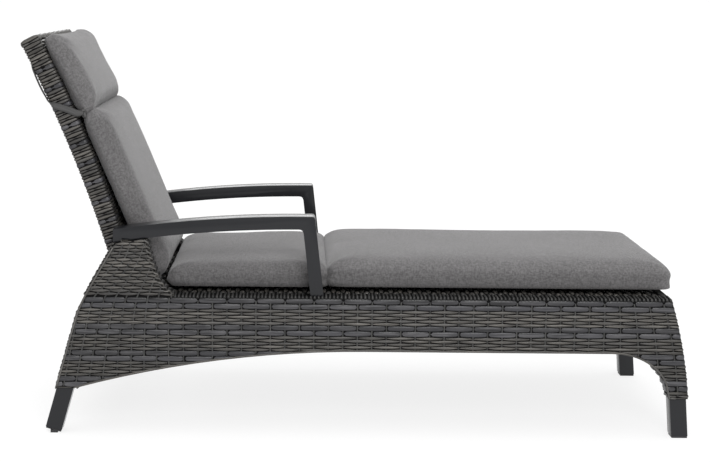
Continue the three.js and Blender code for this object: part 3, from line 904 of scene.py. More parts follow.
@dataclass
class WovenSide:
    """Woven side of the base: rows round the legs and edges, stakes, wrapped rims and a braided border."""

    node: bpy.types.Object
    mirror: int
    name: str
    depth: float = 0.048
    hem: float = 0.044
    rear_hem: float = 0.010
    lean_zone: float = 0.30
    foot_zone: float = 0.22
    dense_low: float = 0.36
    dense_rise: float = 0.50
    climb_zone: float = 0.10
    phase_drift: float = 0.06
    narrow_leg: float = 0.075
    probe: float = 0.45
    least_span: float = 0.012
    shoulder_front: float = -0.30
    shoulder_least: float = 0.020
    taper_least: float = 0.22
    inner_lift: float = -0.0010
    inner_crown: float = 0.0010
    outer_room: float = 0.0012
    stake_half: float = 0.0020
    stake_crown: float = 0.0016
    stake_rise: float = 0.0004
    wrap_pitch: float = WRAP_PITCH
    twist: float = 0.0036
    twist_pitch: float = 0.027
    twist_radius: float = 0.0029
    twist_depths: tuple[float, ...] = (0.0015, 0.0130, 0.0245, 0.0360, 0.0414)
    plan: RowPlan = field(default_factory=RowPlan)
    plait: Plait = field(default_factory=Plait)

    def __post_init__(self) -> None:
        """Read the outline and the heights it depends on."""
        self.outline = SideOutline(self.node)
        self.deck_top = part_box("woven_deck")[1].z
        self.arch_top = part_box("woven_foot_panel")[0].z
        self.row_top = self.deck_top - ROW_DROP
        self.sleeve_low = float(self.outline.low[20]) + 0.0005
        self.post_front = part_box("armrest_right")[1].x
        self.deck_span = self.outline.spans(self.deck_top - 0.002)[0]
        self.dense_from = self.outline.spans(self.deck_top + 0.004)[0][1]
        self.mesh = StrandMesh(SEED + self.mirror)

    def _edges(self, z: float) -> tuple[float, float]:
        """Rear and front edge of the whole panel at a height."""
        return self.outline.spans(max(z, self.sleeve_low))[0][0], self.outline.spans(z)[-1][1]

    def _lay_x(self, x: np.ndarray, z: float) -> np.ndarray:
        """Distance along a row, counted so that stakes follow the leaning edges.

        Args:
            x: Places along the row.
            z: Its height.

        Returns:
            The warped distance.
        """
        rear, front = self._edges(z)
        rear_share = 1.0 - smooth((x - rear) / self.lean_zone)
        lay = x + rear_share * (self.deck_span[0] - rear)
        if z < self.deck_top:
            front_share = 1.0 - smooth((front - x) / self.foot_zone)
            lay = lay + front_share * (self.deck_span[1] - front)
        climb = min(max((z - self.deck_top) / self.climb_zone, 0.0), 1.0)
        return lay - np.maximum(self.dense_from - x, 0.0) * (self.dense_low + self.dense_rise * climb)

    def _solid(self, flat: np.ndarray, z: np.ndarray) -> np.ndarray:
        """Points of the row frame from x and inward depth."""
        return np.stack([flat[:, 0], self.mirror * (self.outline.reach - flat[:, 1]), z], axis=1)

    def _corners(self, z: float, span: tuple[float, float], loop: bool) -> list[tuple[float, float]]:
        """Corners of a row in x and inward depth.

        Args:
            z: Middle of the row.
            span: Stretch of x.
            loop: Whether the row closes round the inner face.

        Returns:
            The corners, from the rear on.
        """
        low, high = span
        if loop:
            return [(low, self.depth), (low, 0.0), (high, 0.0), (high, self.depth)]
        rear, front = self._edges(z)
        corners = [(low, 0.0), (high, 0.0)]
        if low - rear < EDGE_ROOM or self._steep(low + 0.001, z):
            corners = [(low + self.rear_hem, self.depth), (low, self.depth), *corners]
        if front - high < EDGE_ROOM or self._steep(high - 0.001, z):
            corners += [(high, self.depth), (high - self.hem, self.depth)]
        return corners

    def _row(self, z: float, height: float, grade: Grade, number: int, span: tuple[float, float]) -> None:
        """Weave one row across one stretch.

        Args:
            z: Middle of the row.
            height: Its height.
            grade: Its kind.
            number: Its number, whose parity sets over and under.
            span: Stretch of x.
        """
        shoulder = z > self.deck_top
        loop = shoulder or span[1] - span[0] < self.narrow_leg
        line = trace(self._corners(z, span, loop), self.plait.radius, self.plait.step, loop)
        outer = np.abs(line.place[:, 1]) < TOUCH
        if outer.sum() < 3:
            return
        x = line.place[:, 0]
        lay = self._lay_x(x, z)
        inside = np.flatnonzero(outer)
        begin, end = inside[0], inside[-1]
        index = np.arange(len(lay))
        lay = np.where(index < begin, lay[begin] - (line.run[begin] - line.run), lay)
        lay = np.where(index > end, lay[end] + (line.run - line.run[end]), lay)
        shift = self.mesh.random.uniform(-self.phase_drift, self.phase_drift)
        phase = math.pi * (lay / self.plait.stake_pitch + number + shift)
        half = height / 2.0
        floor = np.maximum(z - half, self.outline.floor(x) + 0.001)
        ceiling = np.minimum(z + half, self.outline.ceiling(x) - 0.0006)
        clipped = outer | ((np.abs(line.normal[:, 0]) < 0.5) & loop)
        middle = np.where(clipped, (floor + ceiling) / 2.0, z)
        reach = np.where(clipped, np.maximum((ceiling - floor) / 2.0, 0.0004), half)
        lift, width, crown = self.plait.raised(phase, line.turning, reach, grade)
        inner = (line.place[:, 1] > self.depth - 0.003) & (line.normal[:, 1] > 0.5)
        lift = np.where(inner, self.inner_lift, lift)
        crown = np.minimum(np.where(inner, self.inner_crown, crown), width * 0.9)
        flat = line.place + line.normal * lift[:, None]
        out = np.stack([line.normal[:, 0], -self.mirror * line.normal[:, 1], np.zeros(len(lay))], axis=1)
        side = np.tile(np.array([0.0, 0.0, 1.0]), (len(lay), 1))
        if shoulder:
            for hand in (-1.0, 1.0):
                facing = ~outer & (line.normal[:, 0] * hand > 0.9)
                self._lean(z, hand, facing, flat, side, out)
        self.mesh.add(Course(self._solid(flat, middle), side, out, width, crown, grade, loop))

    def _lean(self, z: float, hand: float, facing: np.ndarray, flat: np.ndarray, side: np.ndarray,
              out: np.ndarray) -> None:
        """Lean a shoulder row's samples on the rear or front edge along that edge.

        Args:
            z: Height of the row.
            hand: -1 for the rear edge, 1 for the front edge.
            facing: Which samples lie on the edge.
            flat: Places, changed in place.
            side: Directions across the strand, changed in place.
            out: Outward directions, changed in place.
        """
        if not facing.any():
            return
        end = 0 if hand < 0 else 1
        here, above = (self.outline.spans(level)[0][end] for level in (z - 0.002, z + 0.002))
        tangent = Vector((above - here, 0.0, 0.004)).normalized()
        lift = flat[facing, 0] - flat[facing, 0].mean()
        flat[facing, 0] = (here + above) / 2.0 + hand * self.outer_room + lift
        side[facing] = np.array(tangent)
        out[facing] = np.array([tangent.z, 0.0, -tangent.x]) * hand

    def _steep(self, x: float, z: float) -> bool:
        """Whether the arch is closer to upright than to level, below its top.

        Args:
            x: Place on the arch.
            z: Height of the row that meets it.

        Returns:
            Whether it is steep there.
        """
        reach = 0.004
        low = self.outline.floor(np.array([x - reach, x + reach]))
        return bool(abs(low[1] - low[0]) > 2.0 * reach) and z < self.arch_top

    def _rows(self) -> None:
        """Weave every row below the deck and on the shoulder."""
        bottom = float(self.outline.low.min())
        for z, height, grade, number in self.plan.down(self.row_top, bottom):
            for span in self.outline.spans(min(z + height * self.probe, self.row_top)):
                if z < self.arch_top:
                    span = self._tapered(span, z, height)
                if span[1] - span[0] > self.least_span:
                    self._row(z, height, grade, number, span)
        top = float(self.outline.high.max())
        for z, height, grade, number in self.plan.narrow_only(self.deck_top + 0.001, top - 0.001):
            for low, high in self.outline.spans(z - height * self.probe):
                if high - low > self.shoulder_least and low < 0.0:
                    self._row(z, height, grade, number + 1, (low, min(high, self.shoulder_front)))

    def _tapered(self, span: tuple[float, float], z: float, height: float) -> tuple[float, float]:
        """Shorten a stretch to where the row keeps some height above the shallow arch.

        Args:
            span: The stretch of x.
            z: Middle of the row.
            height: Its height.

        Returns:
            The shortened stretch, which has no length if nothing is left.
        """
        low, high = span
        step = 0.001
        x = np.arange(low, high, step)
        inside = x[z + height / 2.0 - self.outline.floor(x) > height * self.taper_least]
        if len(inside) < 3:
            return low, low
        return max(low, inside[0] - step), min(high, inside[-1] + step)

    def _stakes(self) -> None:
        """Lay the upright stakes on the outer face."""
        levels = np.arange(self.outline.low.min() + 0.002, self.outline.high.max(), 0.006)
        grid = self.outline.grid
        warped = np.array([self._lay_x(grid, min(z, self.outline.high.max() - 0.003)) for z in levels])
        pitch = self.plait.stake_pitch
        first, last = math.ceil(warped.min() / pitch), math.floor(warped.max() / pitch)
        for number in range(first, last + 1):
            x = np.array([np.interp(number * pitch, row, grid) for row in warped])
            inside = (levels > self.outline.floor(x) + 0.002) & (levels < self.outline.ceiling(x) - 0.004)
            inside &= (x > grid[0] + 0.004) & (x < grid[-1] - 0.004)
            picks = np.flatnonzero(inside)
            for stretch in np.split(picks, np.flatnonzero(np.diff(picks) > 1) + 1):
                if len(stretch) > 3:
                    self._upright(x[stretch], levels[stretch], self.stake_half, self.stake_crown,
                                  self.stake_rise)

    def _upright(self, x: np.ndarray, z: np.ndarray, half: float, crown: float, rise: float,
                 grade: Grade = Grade.STAKE) -> None:
        """Lay one upright strand on the outer face.

        Args:
            x: Its places.
            z: Its heights.
            half: Half its width.
            crown: Its crown.
            rise: How far it stands off the face.
            grade: Its kind.
        """
        count = len(x)
        centre = self._solid(np.stack([x, np.full(count, -rise)], axis=1), z)
        along = unit(np.gradient(np.stack([x, z], axis=1), axis=0))
        side = np.stack([along[:, 1], np.zeros(count), -along[:, 0]], axis=1)
        self.mesh.add(Course(centre, side, ACROSS * self.mirror, half, crown, grade))

    def _rims(self) -> None:
        """Wrap the rail's top and the underside of the arch with short cross strands."""
        shoulder_foot = self.outline.spans(self.deck_top + 0.004)[0][1]
        x = shoulder_foot + 0.002
        while x < self.deck_span[1] - 0.002:
            beside_post = self.post_front - 0.042 < x < self.post_front + 0.004
            self._wrap(x, self.deck_top + 0.0004, 0.0, 1.0, 0.010 if beside_post else self.depth)
            x += self.wrap_pitch * self.mesh.random.uniform(0.92, 1.08)
        x = float(self.outline.grid[0]) + 0.052
        while x < self.deck_span[1] - 0.005:
            level = float(self.outline.floor(np.array([x]))[0])
            slope = float(np.diff(self.outline.floor(np.array([x - 0.004, x + 0.004])))[0]) / 0.008
            if abs(slope) > 1.3:
                break
            self._wrap(x, level, slope, -1.0, self.depth)
            x += self.wrap_pitch / math.hypot(1.0, slope) * self.mesh.random.uniform(0.94, 1.06)

    def _wrap(self, x: float, z: float, slope: float, up: float, depth: float) -> None:
        """Bend one short strand over a rim.

        Args:
            x: Its place.
            z: Height of the rim.
            slope: Slope of the rim.
            up: 1 over the top, -1 under the bottom.
            depth: How far it reaches inwards.
        """
        drop, stand, crown = (0.0046, 0.0006, 0.0020) if up > 0 else (0.0026, 0.0, 0.0009)
        line = trace([(0.0, -drop), (0.0, 0.0), (depth, 0.0)], WRAP_BEND, 0.008, False)
        tilt = Vector((1.0, 0.0, slope)).normalized()
        lift_x, lift_z = np.array([-tilt.z, tilt.x]) * up
        lean = self.mesh.random.uniform(-0.0014, 0.0014)
        inward = line.place[:, 0]
        rise = line.place[:, 1] + np.abs(line.normal[:, 1]) * stand
        y = self.mirror * (self.outline.reach + self.outer_room - inward)
        centre = np.stack([x + lift_x * rise + lean * smooth(inward / depth), y, z + lift_z * rise], axis=1)
        facing = np.where(inward < TOUCH, 1.0, 0.0)
        out = np.stack([lift_x * (1 - facing), self.mirror * facing, lift_z * (1 - facing)], axis=1)
        out[line.turning > 0] = (lift_x, self.mirror, lift_z)
        half = self.wrap_pitch * self.mesh.random.uniform(0.26, 0.32)
        # The wraps get the darker painted shade finish.
        self.mesh.add(Course(centre, np.array([tilt.x, 0.0, tilt.z]), unit(out), half, crown, Grade.HEM_SHADE))

    def _braid(self) -> None:
        """Twist two strands into the border of the shoulder's front edge, inside and out."""
        levels = np.linspace(self.deck_top + 0.0015, self._shoulder_top() - 0.002, 90)
        edge = np.array([self.outline.spans(z)[0][1] for z in levels])
        line = np.stack([edge, levels], axis=1)
        run = run_along(line)
        along = unit(np.gradient(line, axis=0))
        across = np.stack([along[:, 1], -along[:, 0]], axis=1)
        direction = np.stack([along[:, 0], np.zeros(len(run)), along[:, 1]], axis=1)
        for depth in self.twist_depths:
            # The braid's inner strands get the darker painted shade finish; the outermost one gets the pale
            # border finish.
            grade = Grade.BORDER if depth == self.twist_depths[0] else Grade.HEM_SHADE
            for turn in (0.0, math.pi):
                angle = run / self.twist_pitch * math.tau + turn
                centre = line + across * (np.cos(angle) * self.twist + 0.0018)[:, None]
                y = self.mirror * (self.outline.reach - depth + np.sin(angle) * self.twist)
                place = np.stack([centre[:, 0], y, centre[:, 1]], axis=1)
                outward = np.stack([across[:, 0] * np.cos(angle), self.mirror * np.sin(angle),
                                    across[:, 1] * np.cos(angle)], axis=1)
                self.mesh.add(Course(place, np.cross(outward, direction), outward, self.twist_radius,
                                     self.twist_radius * TWIST_FLAT, grade))

    def _arch_border(self) -> None:
        """Run one strand along the lower edge of the outer face."""
        x = np.arange(float(self.outline.grid[0]) + 0.046, float(self.outline.grid[-1]) - 0.024, 0.008)
        level = self.outline.floor(x) + 0.0024
        gaps = np.flatnonzero(np.abs(np.diff(level)) > 0.05)
        for stretch in np.split(np.arange(len(x)), gaps + 1):
            if len(stretch) > 3:
                self._upright(x[stretch], level[stretch], 0.0026, 0.0018, 0.0014, Grade.NARROW)

    def _rear_border(self) -> None:
        """Run one pale strand down the rear edge of the outer face."""
        levels = np.arange(self.sleeve_low + 0.004, self.outline.high.max() - 0.020, 0.008)
        edge = np.array([self.outline.spans(z)[0][0] for z in levels])
        self._upright(edge + 0.0036, levels, 0.0023, 0.0019, 0.0026, Grade.BORDER)

    def _shoulder_top(self) -> float:
        """Height of the shoulder at its front edge."""
        return float(self.outline.high[(self.outline.grid < -0.45)].max())

    def build(self) -> list[bpy.types.Object]:
        """Build the side's strands.

        Returns:
            The woven piece.
        """
        self._rows()
        self._stakes()
        self._rims()
        self._braid()
        self._rear_border()
        self._arch_border()
        return [woven(self.mesh, self.name, "base")]


@dataclass
class WovenEnds:
    """Woven panels between the sides: foot end, rear end and deck."""

    side: SideOutline
    plan: RowPlan = field(default_factory=RowPlan)
    plait: Plait = field(default_factory=Plait)
    deck_plait: Plait = field(
        default_factory=lambda: Plait(lift=0.0010, crown=0.0009, sink=-0.0008, step=0.0088))
    deck_pitch: float = 0.0118
    thick: float = 0.012
    roll_radius: float = 0.0045
    roll_pitch: float = 0.028

    def __post_init__(self) -> None:
        """Read the height of the sides' top row."""
        self.side_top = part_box("woven_deck")[1].z - ROW_DROP

    def _level_row(self, mesh: StrandMesh, place: Vector, out: Vector, half_span: float, height: float,
                   grade: Grade, number: int, plait: Plait) -> None:
        """Weave one level row across the lounger.

        Args:
            mesh: Mesh that takes it.
            place: Middle of the row.
            out: Normal of the panel.
            half_span: Half its length.
            height: Its height.
            grade: Its kind.
            number: Its number.
            plait: How it passes its stakes.
        """
        y = np.linspace(-half_span, half_span, int(2 * half_span / plait.step))
        phase = math.pi * (y / plait.stake_pitch + number)
        lift, width, crown = plait.raised(phase, np.zeros(len(y)), np.full(len(y), height / 2.0), grade)
        normal = np.array(out)
        centre = np.array(place) + ACROSS * y[:, None] + normal * lift[:, None]
        mesh.add(Course(centre, np.cross(normal, ACROSS), normal, width, crown, grade))

    def _edge_roll(self, mesh: StrandMesh, place: Vector, half_span: float) -> None:
        """Twist two strands into a level border.

        Args:
            mesh: Mesh that takes them.
            place: Middle of the border.
            half_span: Half its length.
        """
        y = np.linspace(-half_span, half_span, 110)
        radius = self.roll_radius
        for turn in (0.0, math.pi):
            angle = y / self.roll_pitch * math.tau + turn
            outward = np.stack([np.cos(angle), np.zeros(len(y)), np.sin(angle)], axis=1)
            centre = np.array(place) + ACROSS * y[:, None] + outward * radius * 0.85
            side = np.cross(outward, ACROSS)
            mesh.add(Course(centre, side, outward, radius, radius * TWIST_FLAT, Grade.STAKE))

    def _panel(self, name: str, node: str, front: bool, seed: int) -> bpy.types.Object:
        """Weave one upright end panel on its outer and inner faces.

        Args:
            name: Name of the piece.
            node: Frame node it lies on.
            front: Whether its outside faces the foot end.
            seed: Seed of its tones.

        Returns:
            The piece.
        """
        low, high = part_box(node)
        mesh = StrandMesh(seed)
        hand = 1.0 if front else -1.0
        for z, height, grade, number in self.plan.down(self.side_top, low.z + 0.003):
            if z + height / 2.0 > high.z + 0.001:
                continue
            below, level, above = (self._edge_x(z + step, front) for step in (-0.004, 0.0, 0.004))
            out = Vector((1.0, 0.0, (below - above) / 0.008)).normalized() * hand
            place = Vector((level, 0.0, z))
            self._level_row(mesh, place, out, high.y, height, grade, number, self.plait)
            self._level_row(mesh, place - out * self.thick, -out, high.y, height, grade, number, self.plait)
        borders = [(low.z, low.z + EDGE_ROOM)]
        if not front:
            borders.append((high.z, high.z - EDGE_ROOM))
        for z, inside in borders:
            middle = self._edge_x(inside, front) - hand * self.thick / 2.0
            self._edge_roll(mesh, Vector((middle, 0.0, z)), high.y)
        return woven(mesh, name, "base")

    def _edge_x(self, z: float, front: bool) -> float:
        """Place of the side's front or rear edge at a height."""
        spans = self.side.spans(z)
        return spans[-1][1] if front else spans[0][0]

    def _deck(self) -> bpy.types.Object:
        """Weave the deck with strands across it and over its foot end.

        Returns:
            The piece.
        """
        low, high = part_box("woven_deck")
        mesh = StrandMesh(SEED + 7)
        pitch, up = self.deck_pitch, Vector((0.0, 0.0, 1.0))
        for number in range(int((high.x - low.x) / pitch)):
            place = Vector((low.x + pitch * (number + 0.5), 0.0, high.z))
            self._level_row(mesh, place, up, high.y, pitch, Grade.NARROW, number, self.deck_plait)
        self._foot_rim(mesh, high)
        return woven(mesh, "woven_deck_strands", "base")

    def _foot_rim(self, mesh: StrandMesh, high: Vector) -> None:
        """Wrap strands over the foot end of the deck.

        Args:
            mesh: Mesh that takes them.
            high: Highest corner of the deck.
        """
        edge = self._edge_x(high.z - EDGE_ROOM, True)
        corners = [(edge - 0.016, 0.0008), (edge + 0.001, 0.0008), (edge + 0.0022, -0.0055)]
        line = trace(corners, WRAP_BEND, 0.006, False)
        zero = np.zeros(len(line.run))
        out = -np.stack([line.normal[:, 0], zero, line.normal[:, 1]], axis=1)
        y = -high.y
        while y < high.y:
            centre = np.stack([line.place[:, 0], zero + y, high.z + line.place[:, 1]], axis=1)
            # The foot rim wraps get the darker painted shade finish.
            mesh.add(Course(centre, ACROSS, out, 0.0042, 0.0012, Grade.HEM_SHADE))
            y += WRAP_PITCH * mesh.random.uniform(0.94, 1.06)

    def build(self) -> list[bpy.types.Object]:
        """Build the foot panel, the rear panel and the deck.

        Returns:
            The woven pieces.
        """
        return [
            self._panel("woven_foot_panel_strands", "woven_foot_panel", True, SEED + 5),
            self._panel("woven_rear_panel_strands", "woven_rear_panel", False, SEED + 6),
            self._deck(),
        ]


@dataclass
class BackCurve:
    """Curve of the backrest: s runs up it from the recline axis, n stands out of its middle."""

    axis: Vector
    start: float = math.radians(75.2)
    radius: float = 3.2

    def angle(self, s: np.ndarray) -> np.ndarray:
        """Angle above the horizontal."""
        return self.start - s / self.radius

    def point(self, s: np.ndarray, n: np.ndarray | float, y: np.ndarray | float) -> np.ndarray:
        """Points in the row frame.

        Args:
            s: Distance up the curve.
            n: Distance out of its middle.
            y: Distance across.

        Returns:
            The points.
        """
        angle = self.angle(s)
        x = -self.radius * (math.sin(self.start) - np.sin(angle)) + n * np.sin(angle)
        z = self.radius * (np.cos(angle) - math.cos(self.start)) + n * np.cos(angle)
        return np.stack([self.axis.x + x, y + 0.0 * x, self.axis.z + z], axis=-1)

    def up(self, s: np.ndarray) -> np.ndarray:
        """Unit vectors up the curve."""
        angle = self.angle(s)
        return np.stack([-np.cos(angle), 0.0 * angle, np.sin(angle)], axis=-1)

    def forward(self, s: np.ndarray) -> np.ndarray:
        """Unit vectors out of the curve's front."""
        angle = self.angle(s)
        return np.stack([np.sin(angle), 0.0 * angle, np.cos(angle)], axis=-1)


@dataclass
class WovenBack:
    """Woven backrest: closed rows round it, stakes, and a wrapped top."""

    curve: BackCurve
    start: float = 0.025
    length: float = 0.680
    half: float = 0.021
    half_width: float = 0.268
    stakes_round: int = 32
    stake_half: float = 0.0022
    stake_crown: float = 0.0013
    stake_stand: float = 0.0002
    top_drop: float = 0.006
    top_rows: int = 10
    wrap_rise: float = 0.0075
    wrap_crown: float = 0.0021
    plan: RowPlan = field(default_factory=lambda: RowPlan(wide=0.0116, wide_rows=1, narrow_rows=5))
    plait: Plait = field(default_factory=lambda: Plait(step=0.0078))

    def _ring(self, step: float) -> tuple[Trace, float]:
        """Closed line round the backrest in n and y.

        Args:
            step: Distance between its samples.

        Returns:
            The line and its whole length.
        """
        a, b = self.half, self.half_width
        line = trace([(-a, -b), (a, -b), (a, b), (-a, b)], self.plait.radius, step, True)
        return line, line.run[-1] + float(np.linalg.norm(line.place[-1] - line.place[0]))

    def _loop(self, mesh: StrandMesh, s: float, height: float, grade: Grade, number: int) -> None:
        """Weave one closed row.

        Args:
            mesh: Mesh that takes it.
            s: Its station.
            height: Its height.
            grade: Its kind.
            number: Its number.
        """
        line, total = self._ring(self.plait.step)
        phase = math.pi * (line.run / total * self.stakes_round + number + 0.5)
        half = np.full(len(line.run), height / 2.0)
        lift, width, crown = self.plait.raised(phase, line.turning, half, grade)
        flat = line.place + line.normal * lift[:, None]
        stations = np.full(len(line.run), s)
        centre = self.curve.point(stations, flat[:, 0], flat[:, 1])
        forward, up = self.curve.forward(stations), self.curve.up(stations)
        out = forward * line.normal[:, :1] + ACROSS * line.normal[:, 1:]
        mesh.add(Course(centre, up, out, width, crown, grade, True))

    def _stake(self, mesh: StrandMesh, place: np.ndarray, normal: np.ndarray) -> None:
        """Lay one upright stake.

        Args:
            mesh: Mesh that takes it.
            place: Its n and y.
            normal: Its outward normal in n and y.
        """
        s = np.linspace(self.start + 0.002, self.length - 0.003, 20)
        n, y = place + normal * self.stake_stand
        centre = self.curve.point(s, n, y)
        out = self.curve.forward(s) * normal[0] + ACROSS * normal[1]
        side = np.cross(self.curve.up(s), out)
        mesh.add(Course(centre, side, out, self.stake_half, self.stake_crown, Grade.STAKE))

    def _stakes(self, mesh: StrandMesh) -> None:
        """Lay the stakes on the front and rear faces, where the rows dive behind them."""
        line, total = self._ring(0.001)
        for number in range(self.stakes_round):
            run = (number + 0.5) / self.stakes_round * total
            index = int(np.argmin(np.abs(line.run - run)))
            if line.turning[index] == 0 and abs(line.normal[index][1]) < 0.5:
                self._stake(mesh, line.place[index], line.normal[index])

    def _top(self, mesh: StrandMesh) -> None:
        """Wrap cross strands over the rounded top.

        Args:
            mesh: Mesh that takes them.
        """
        angle = np.linspace(-0.5, math.pi + 0.5, 13)
        reach = self.half + 0.0016
        n = reach * np.sign(np.cos(angle)) * np.abs(np.cos(angle)) ** 0.55
        n = np.where(np.sin(angle) < 0, reach * np.sign(np.cos(angle)), n)
        s = self.length - 0.0065 + self.wrap_rise * np.sign(np.sin(angle)) * np.abs(np.sin(angle)) ** 0.75
        y = -self.half_width + 0.004
        while y < self.half_width - 0.003:
            lean = mesh.random.uniform(-0.001, 0.001)
            centre = self.curve.point(s, n, y + lean * np.cos(angle))
            out = np.cross(unit(np.gradient(centre, axis=0)), ACROSS)
            middle = self.curve.point(np.array([self.length - 0.03]), 0.0, y)[0]
            if np.dot(out[6], centre[6] - middle) < 0:
                out = -out
            half = WRAP_PITCH * mesh.random.uniform(0.38, 0.44)
            mesh.add(Course(centre, ACROSS, out, half, self.wrap_crown, Grade.NARROW))
            y += WRAP_PITCH * mesh.random.uniform(0.94, 1.06)

    def build(self) -> list[bpy.types.Object]:
        """Build the backrest's strands.

        Returns:
            The woven piece.
        """
        mesh = StrandMesh(SEED + 11)
        below = self.length - self.top_drop - (self.top_rows - 1) * self.plan.narrow
        crest = below + self.top_rows * self.plan.narrow
        rows = [*self.plan.narrow_only(below, crest), *self.plan.down(below, self.start + 0.002)]
        for level, height, grade, number in rows:
            self._loop(mesh, level, height, grade, number)
        self._stakes(mesh)
        self._top(mesh)
        return [woven(mesh, "woven_back_strands", "backrest")]


# ---------------------------------------------------------------- mattress


@dataclass
class Cushion:
    """One stuffed part of the mattress, inflated from a smaller block, with a welt near its lower edge."""

    name: str
    node: str
    angle: float | None = None
    length: float = 0.0
    thickness: float = 0.0
    rear_thickness: float = 0.0
    shrink: float = 0.004
    voxel: float = 0.0065
    round_off: float = 0.020
    cap: float = 0.006
    end_roll: float = 0.0
    pressure: float = 4.0
    frames: int = 20
    rests: bool = False
    settle: float = 0.0015
    crown: float = 0.012
    reach_low: float = 0.0
    reach_high: float = 0.0
    even: int = 2
    spill: tuple[float, float, float] = (0.003, 0.0, 0.012)
    reach_zone: float = 0.08
    roll_along: float = 0.055
    roll_across: float = 0.050
    pucker: float = 0.0042
    pucker_reach: float = 0.062
    crease_reach: float = 0.055
    welt_level: float = -0.70
    welt_radius: float = 0.0008

    def __post_init__(self) -> None:
        """Place the cushion's own axes: along it, across it, and out of its face."""
        low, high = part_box(self.node)
        self.centre = (low + high) / 2.0
        self.width = high.y - low.y
        if self.angle is None:
            self.length, self.thickness = high.x - low.x, high.z - low.z
            self.along, self.face = Vector((1.0, 0.0, 0.0)), Vector((0.0, 0.0, 1.0))
        else:
            slope = math.radians(self.angle)
            self.along = Vector((-math.cos(slope), 0.0, math.sin(slope)))
            self.face = Vector((math.sin(slope), 0.0, math.cos(slope)))
        self.across = Vector((0.0, 1.0, 0.0))
        self.frame = np.array([self.along, self.across, self.face])
        self.sizes = np.array([self.length, self.width, self.thickness])

    def _world(self, local: np.ndarray) -> np.ndarray:
        """Row-frame points of the cushion's own."""
        return local @ self.frame + np.array(self.centre)

    def _local(self, world: np.ndarray) -> np.ndarray:
        """The cushion's own points of the row frame's."""
        return (world - np.array(self.centre)) @ self.frame.T

    def _block(self) -> bpy.types.Object:
        """A slightly smaller block with rounded edges, remeshed to even quads.

        Returns:
            The block.
        """
        half = self.sizes / 2.0 - self.shrink
        signs = np.array([(a, b, c) for a in (-1, 1) for b in (-1, 1) for c in (-1, 1)], float)
        corners = signs * half
        if self.rear_thickness:
            thin = (signs[:, 0] < 0) & (signs[:, 2] > 0)
            corners[thin, 2] -= self.thickness - self.rear_thickness
        faces = [(0, 1, 3, 2), (4, 6, 7, 5), (0, 4, 5, 1), (2, 3, 7, 6), (0, 2, 6, 4), (1, 5, 7, 3)]
        mesh = bpy.data.meshes.new(self.name)
        mesh.from_pydata([tuple(point) for point in self._world(corners)], [], faces)
        block = bpy.data.objects.new(self.name, mesh)
        bpy.context.scene.collection.objects.link(block)
        bevel = block.modifiers.new("rounding", "BEVEL")
        bevel.width, bevel.segments = self.round_off, 5
        remesh = block.modifiers.new("cloth_grid", "REMESH")
        remesh.mode, remesh.voxel_size = "VOXEL", self.voxel
        self._apply(block)
        return block

    @staticmethod
    def _apply(piece: bpy.types.Object) -> None:
        """Apply every modifier of a piece.

        Args:
            piece: The piece, which gets the resulting mesh.
        """
        graph = bpy.context.evaluated_depsgraph_get()
        graph.update()
        mesh = bpy.data.meshes.new_from_object(piece.evaluated_get(graph))
        piece.modifiers.clear()
        piece.data = mesh

    def _inflate(self, block: bpy.types.Object) -> np.ndarray:
        """Blow the block up as a cloth bag.

        Args:
            block: The block.

        Returns:
            Where its points end.
        """
        cloth = block.modifiers.new("filling", "CLOTH")
        settings = cloth.settings
        settings.quality = 4
        settings.mass = 0.3
        settings.tension_stiffness = settings.compression_stiffness = 14.0
        settings.shear_stiffness = 6.0
        settings.bending_stiffness = 0.6
        settings.use_pressure = True
        settings.uniform_pressure_force = self.pressure
        settings.effector_weights.gravity = 0.0
        cloth.collision_settings.use_collision = False
        cloth.point_cache.frame_start, cloth.point_cache.frame_end = 1, self.frames
        for frame in range(1, self.frames + 1):
            bpy.context.scene.frame_set(frame)
        graph = bpy.context.evaluated_depsgraph_get()
        blown = block.evaluated_get(graph).to_mesh()
        points = np.empty(len(blown.vertices) * 3, np.float32)
        blown.vertices.foreach_get("co", points)
        block.evaluated_get(graph).to_mesh_clear()
        block.modifiers.remove(cloth)
        return points.reshape(-1, 3).astype(float)

    def _shape(self, block: bpy.types.Object) -> None:
        """Inflate the block, hold it to its room, and gather it at its corners.

        Args:
            block: The block, which becomes the cushion.
        """
        rest = np.array([v.co for v in block.data.vertices], float)
        blown = self._inflate(block)
        move = blown - rest
        reach = np.linalg.norm(move, axis=1)
        share = self.cap * np.tanh(reach / self.cap) / np.maximum(reach, 1e-9)
        local = self._local(rest + move * share[:, None])
        share_u = np.clip(local[:, 0] / (self.sizes[0] / 2.0), -1.0, 1.0)
        share_v = np.clip(local[:, 1] / (self.sizes[1] / 2.0), -1.0, 1.0)
        local = self._rolled(self._gathered(local, share_u, share_v))
        low, high = local.min(axis=0), local.max(axis=0)
        local = (local - (low + high) / 2.0) * ((self.sizes + np.array(self.spill)) / (high - low))
        inside = self.sizes[0] / 2.0 - self.reach_zone
        local[:, 0] += self.reach_high * smooth((local[:, 0] - inside) / self.reach_zone)
        local[:, 0] -= self.reach_low * smooth((-local[:, 0] - inside) / self.reach_zone)
        if self.rests:
            local[:, 2] = np.maximum(local[:, 2], self.spill[2] / 2.0 - self.sizes[2] / 2.0 + self.settle)
            local[:, 2] += self.settle
        block.data.vertices.foreach_set("co", self._world(local).astype(np.float32).ravel())
        smooth_pass = block.modifiers.new("settle", "SMOOTH")
        smooth_pass.factor, smooth_pass.iterations = 0.4, self.even
        fine = block.modifiers.new("fine", "SUBSURF")
        fine.levels = fine.render_levels = 1
        self._apply(block)

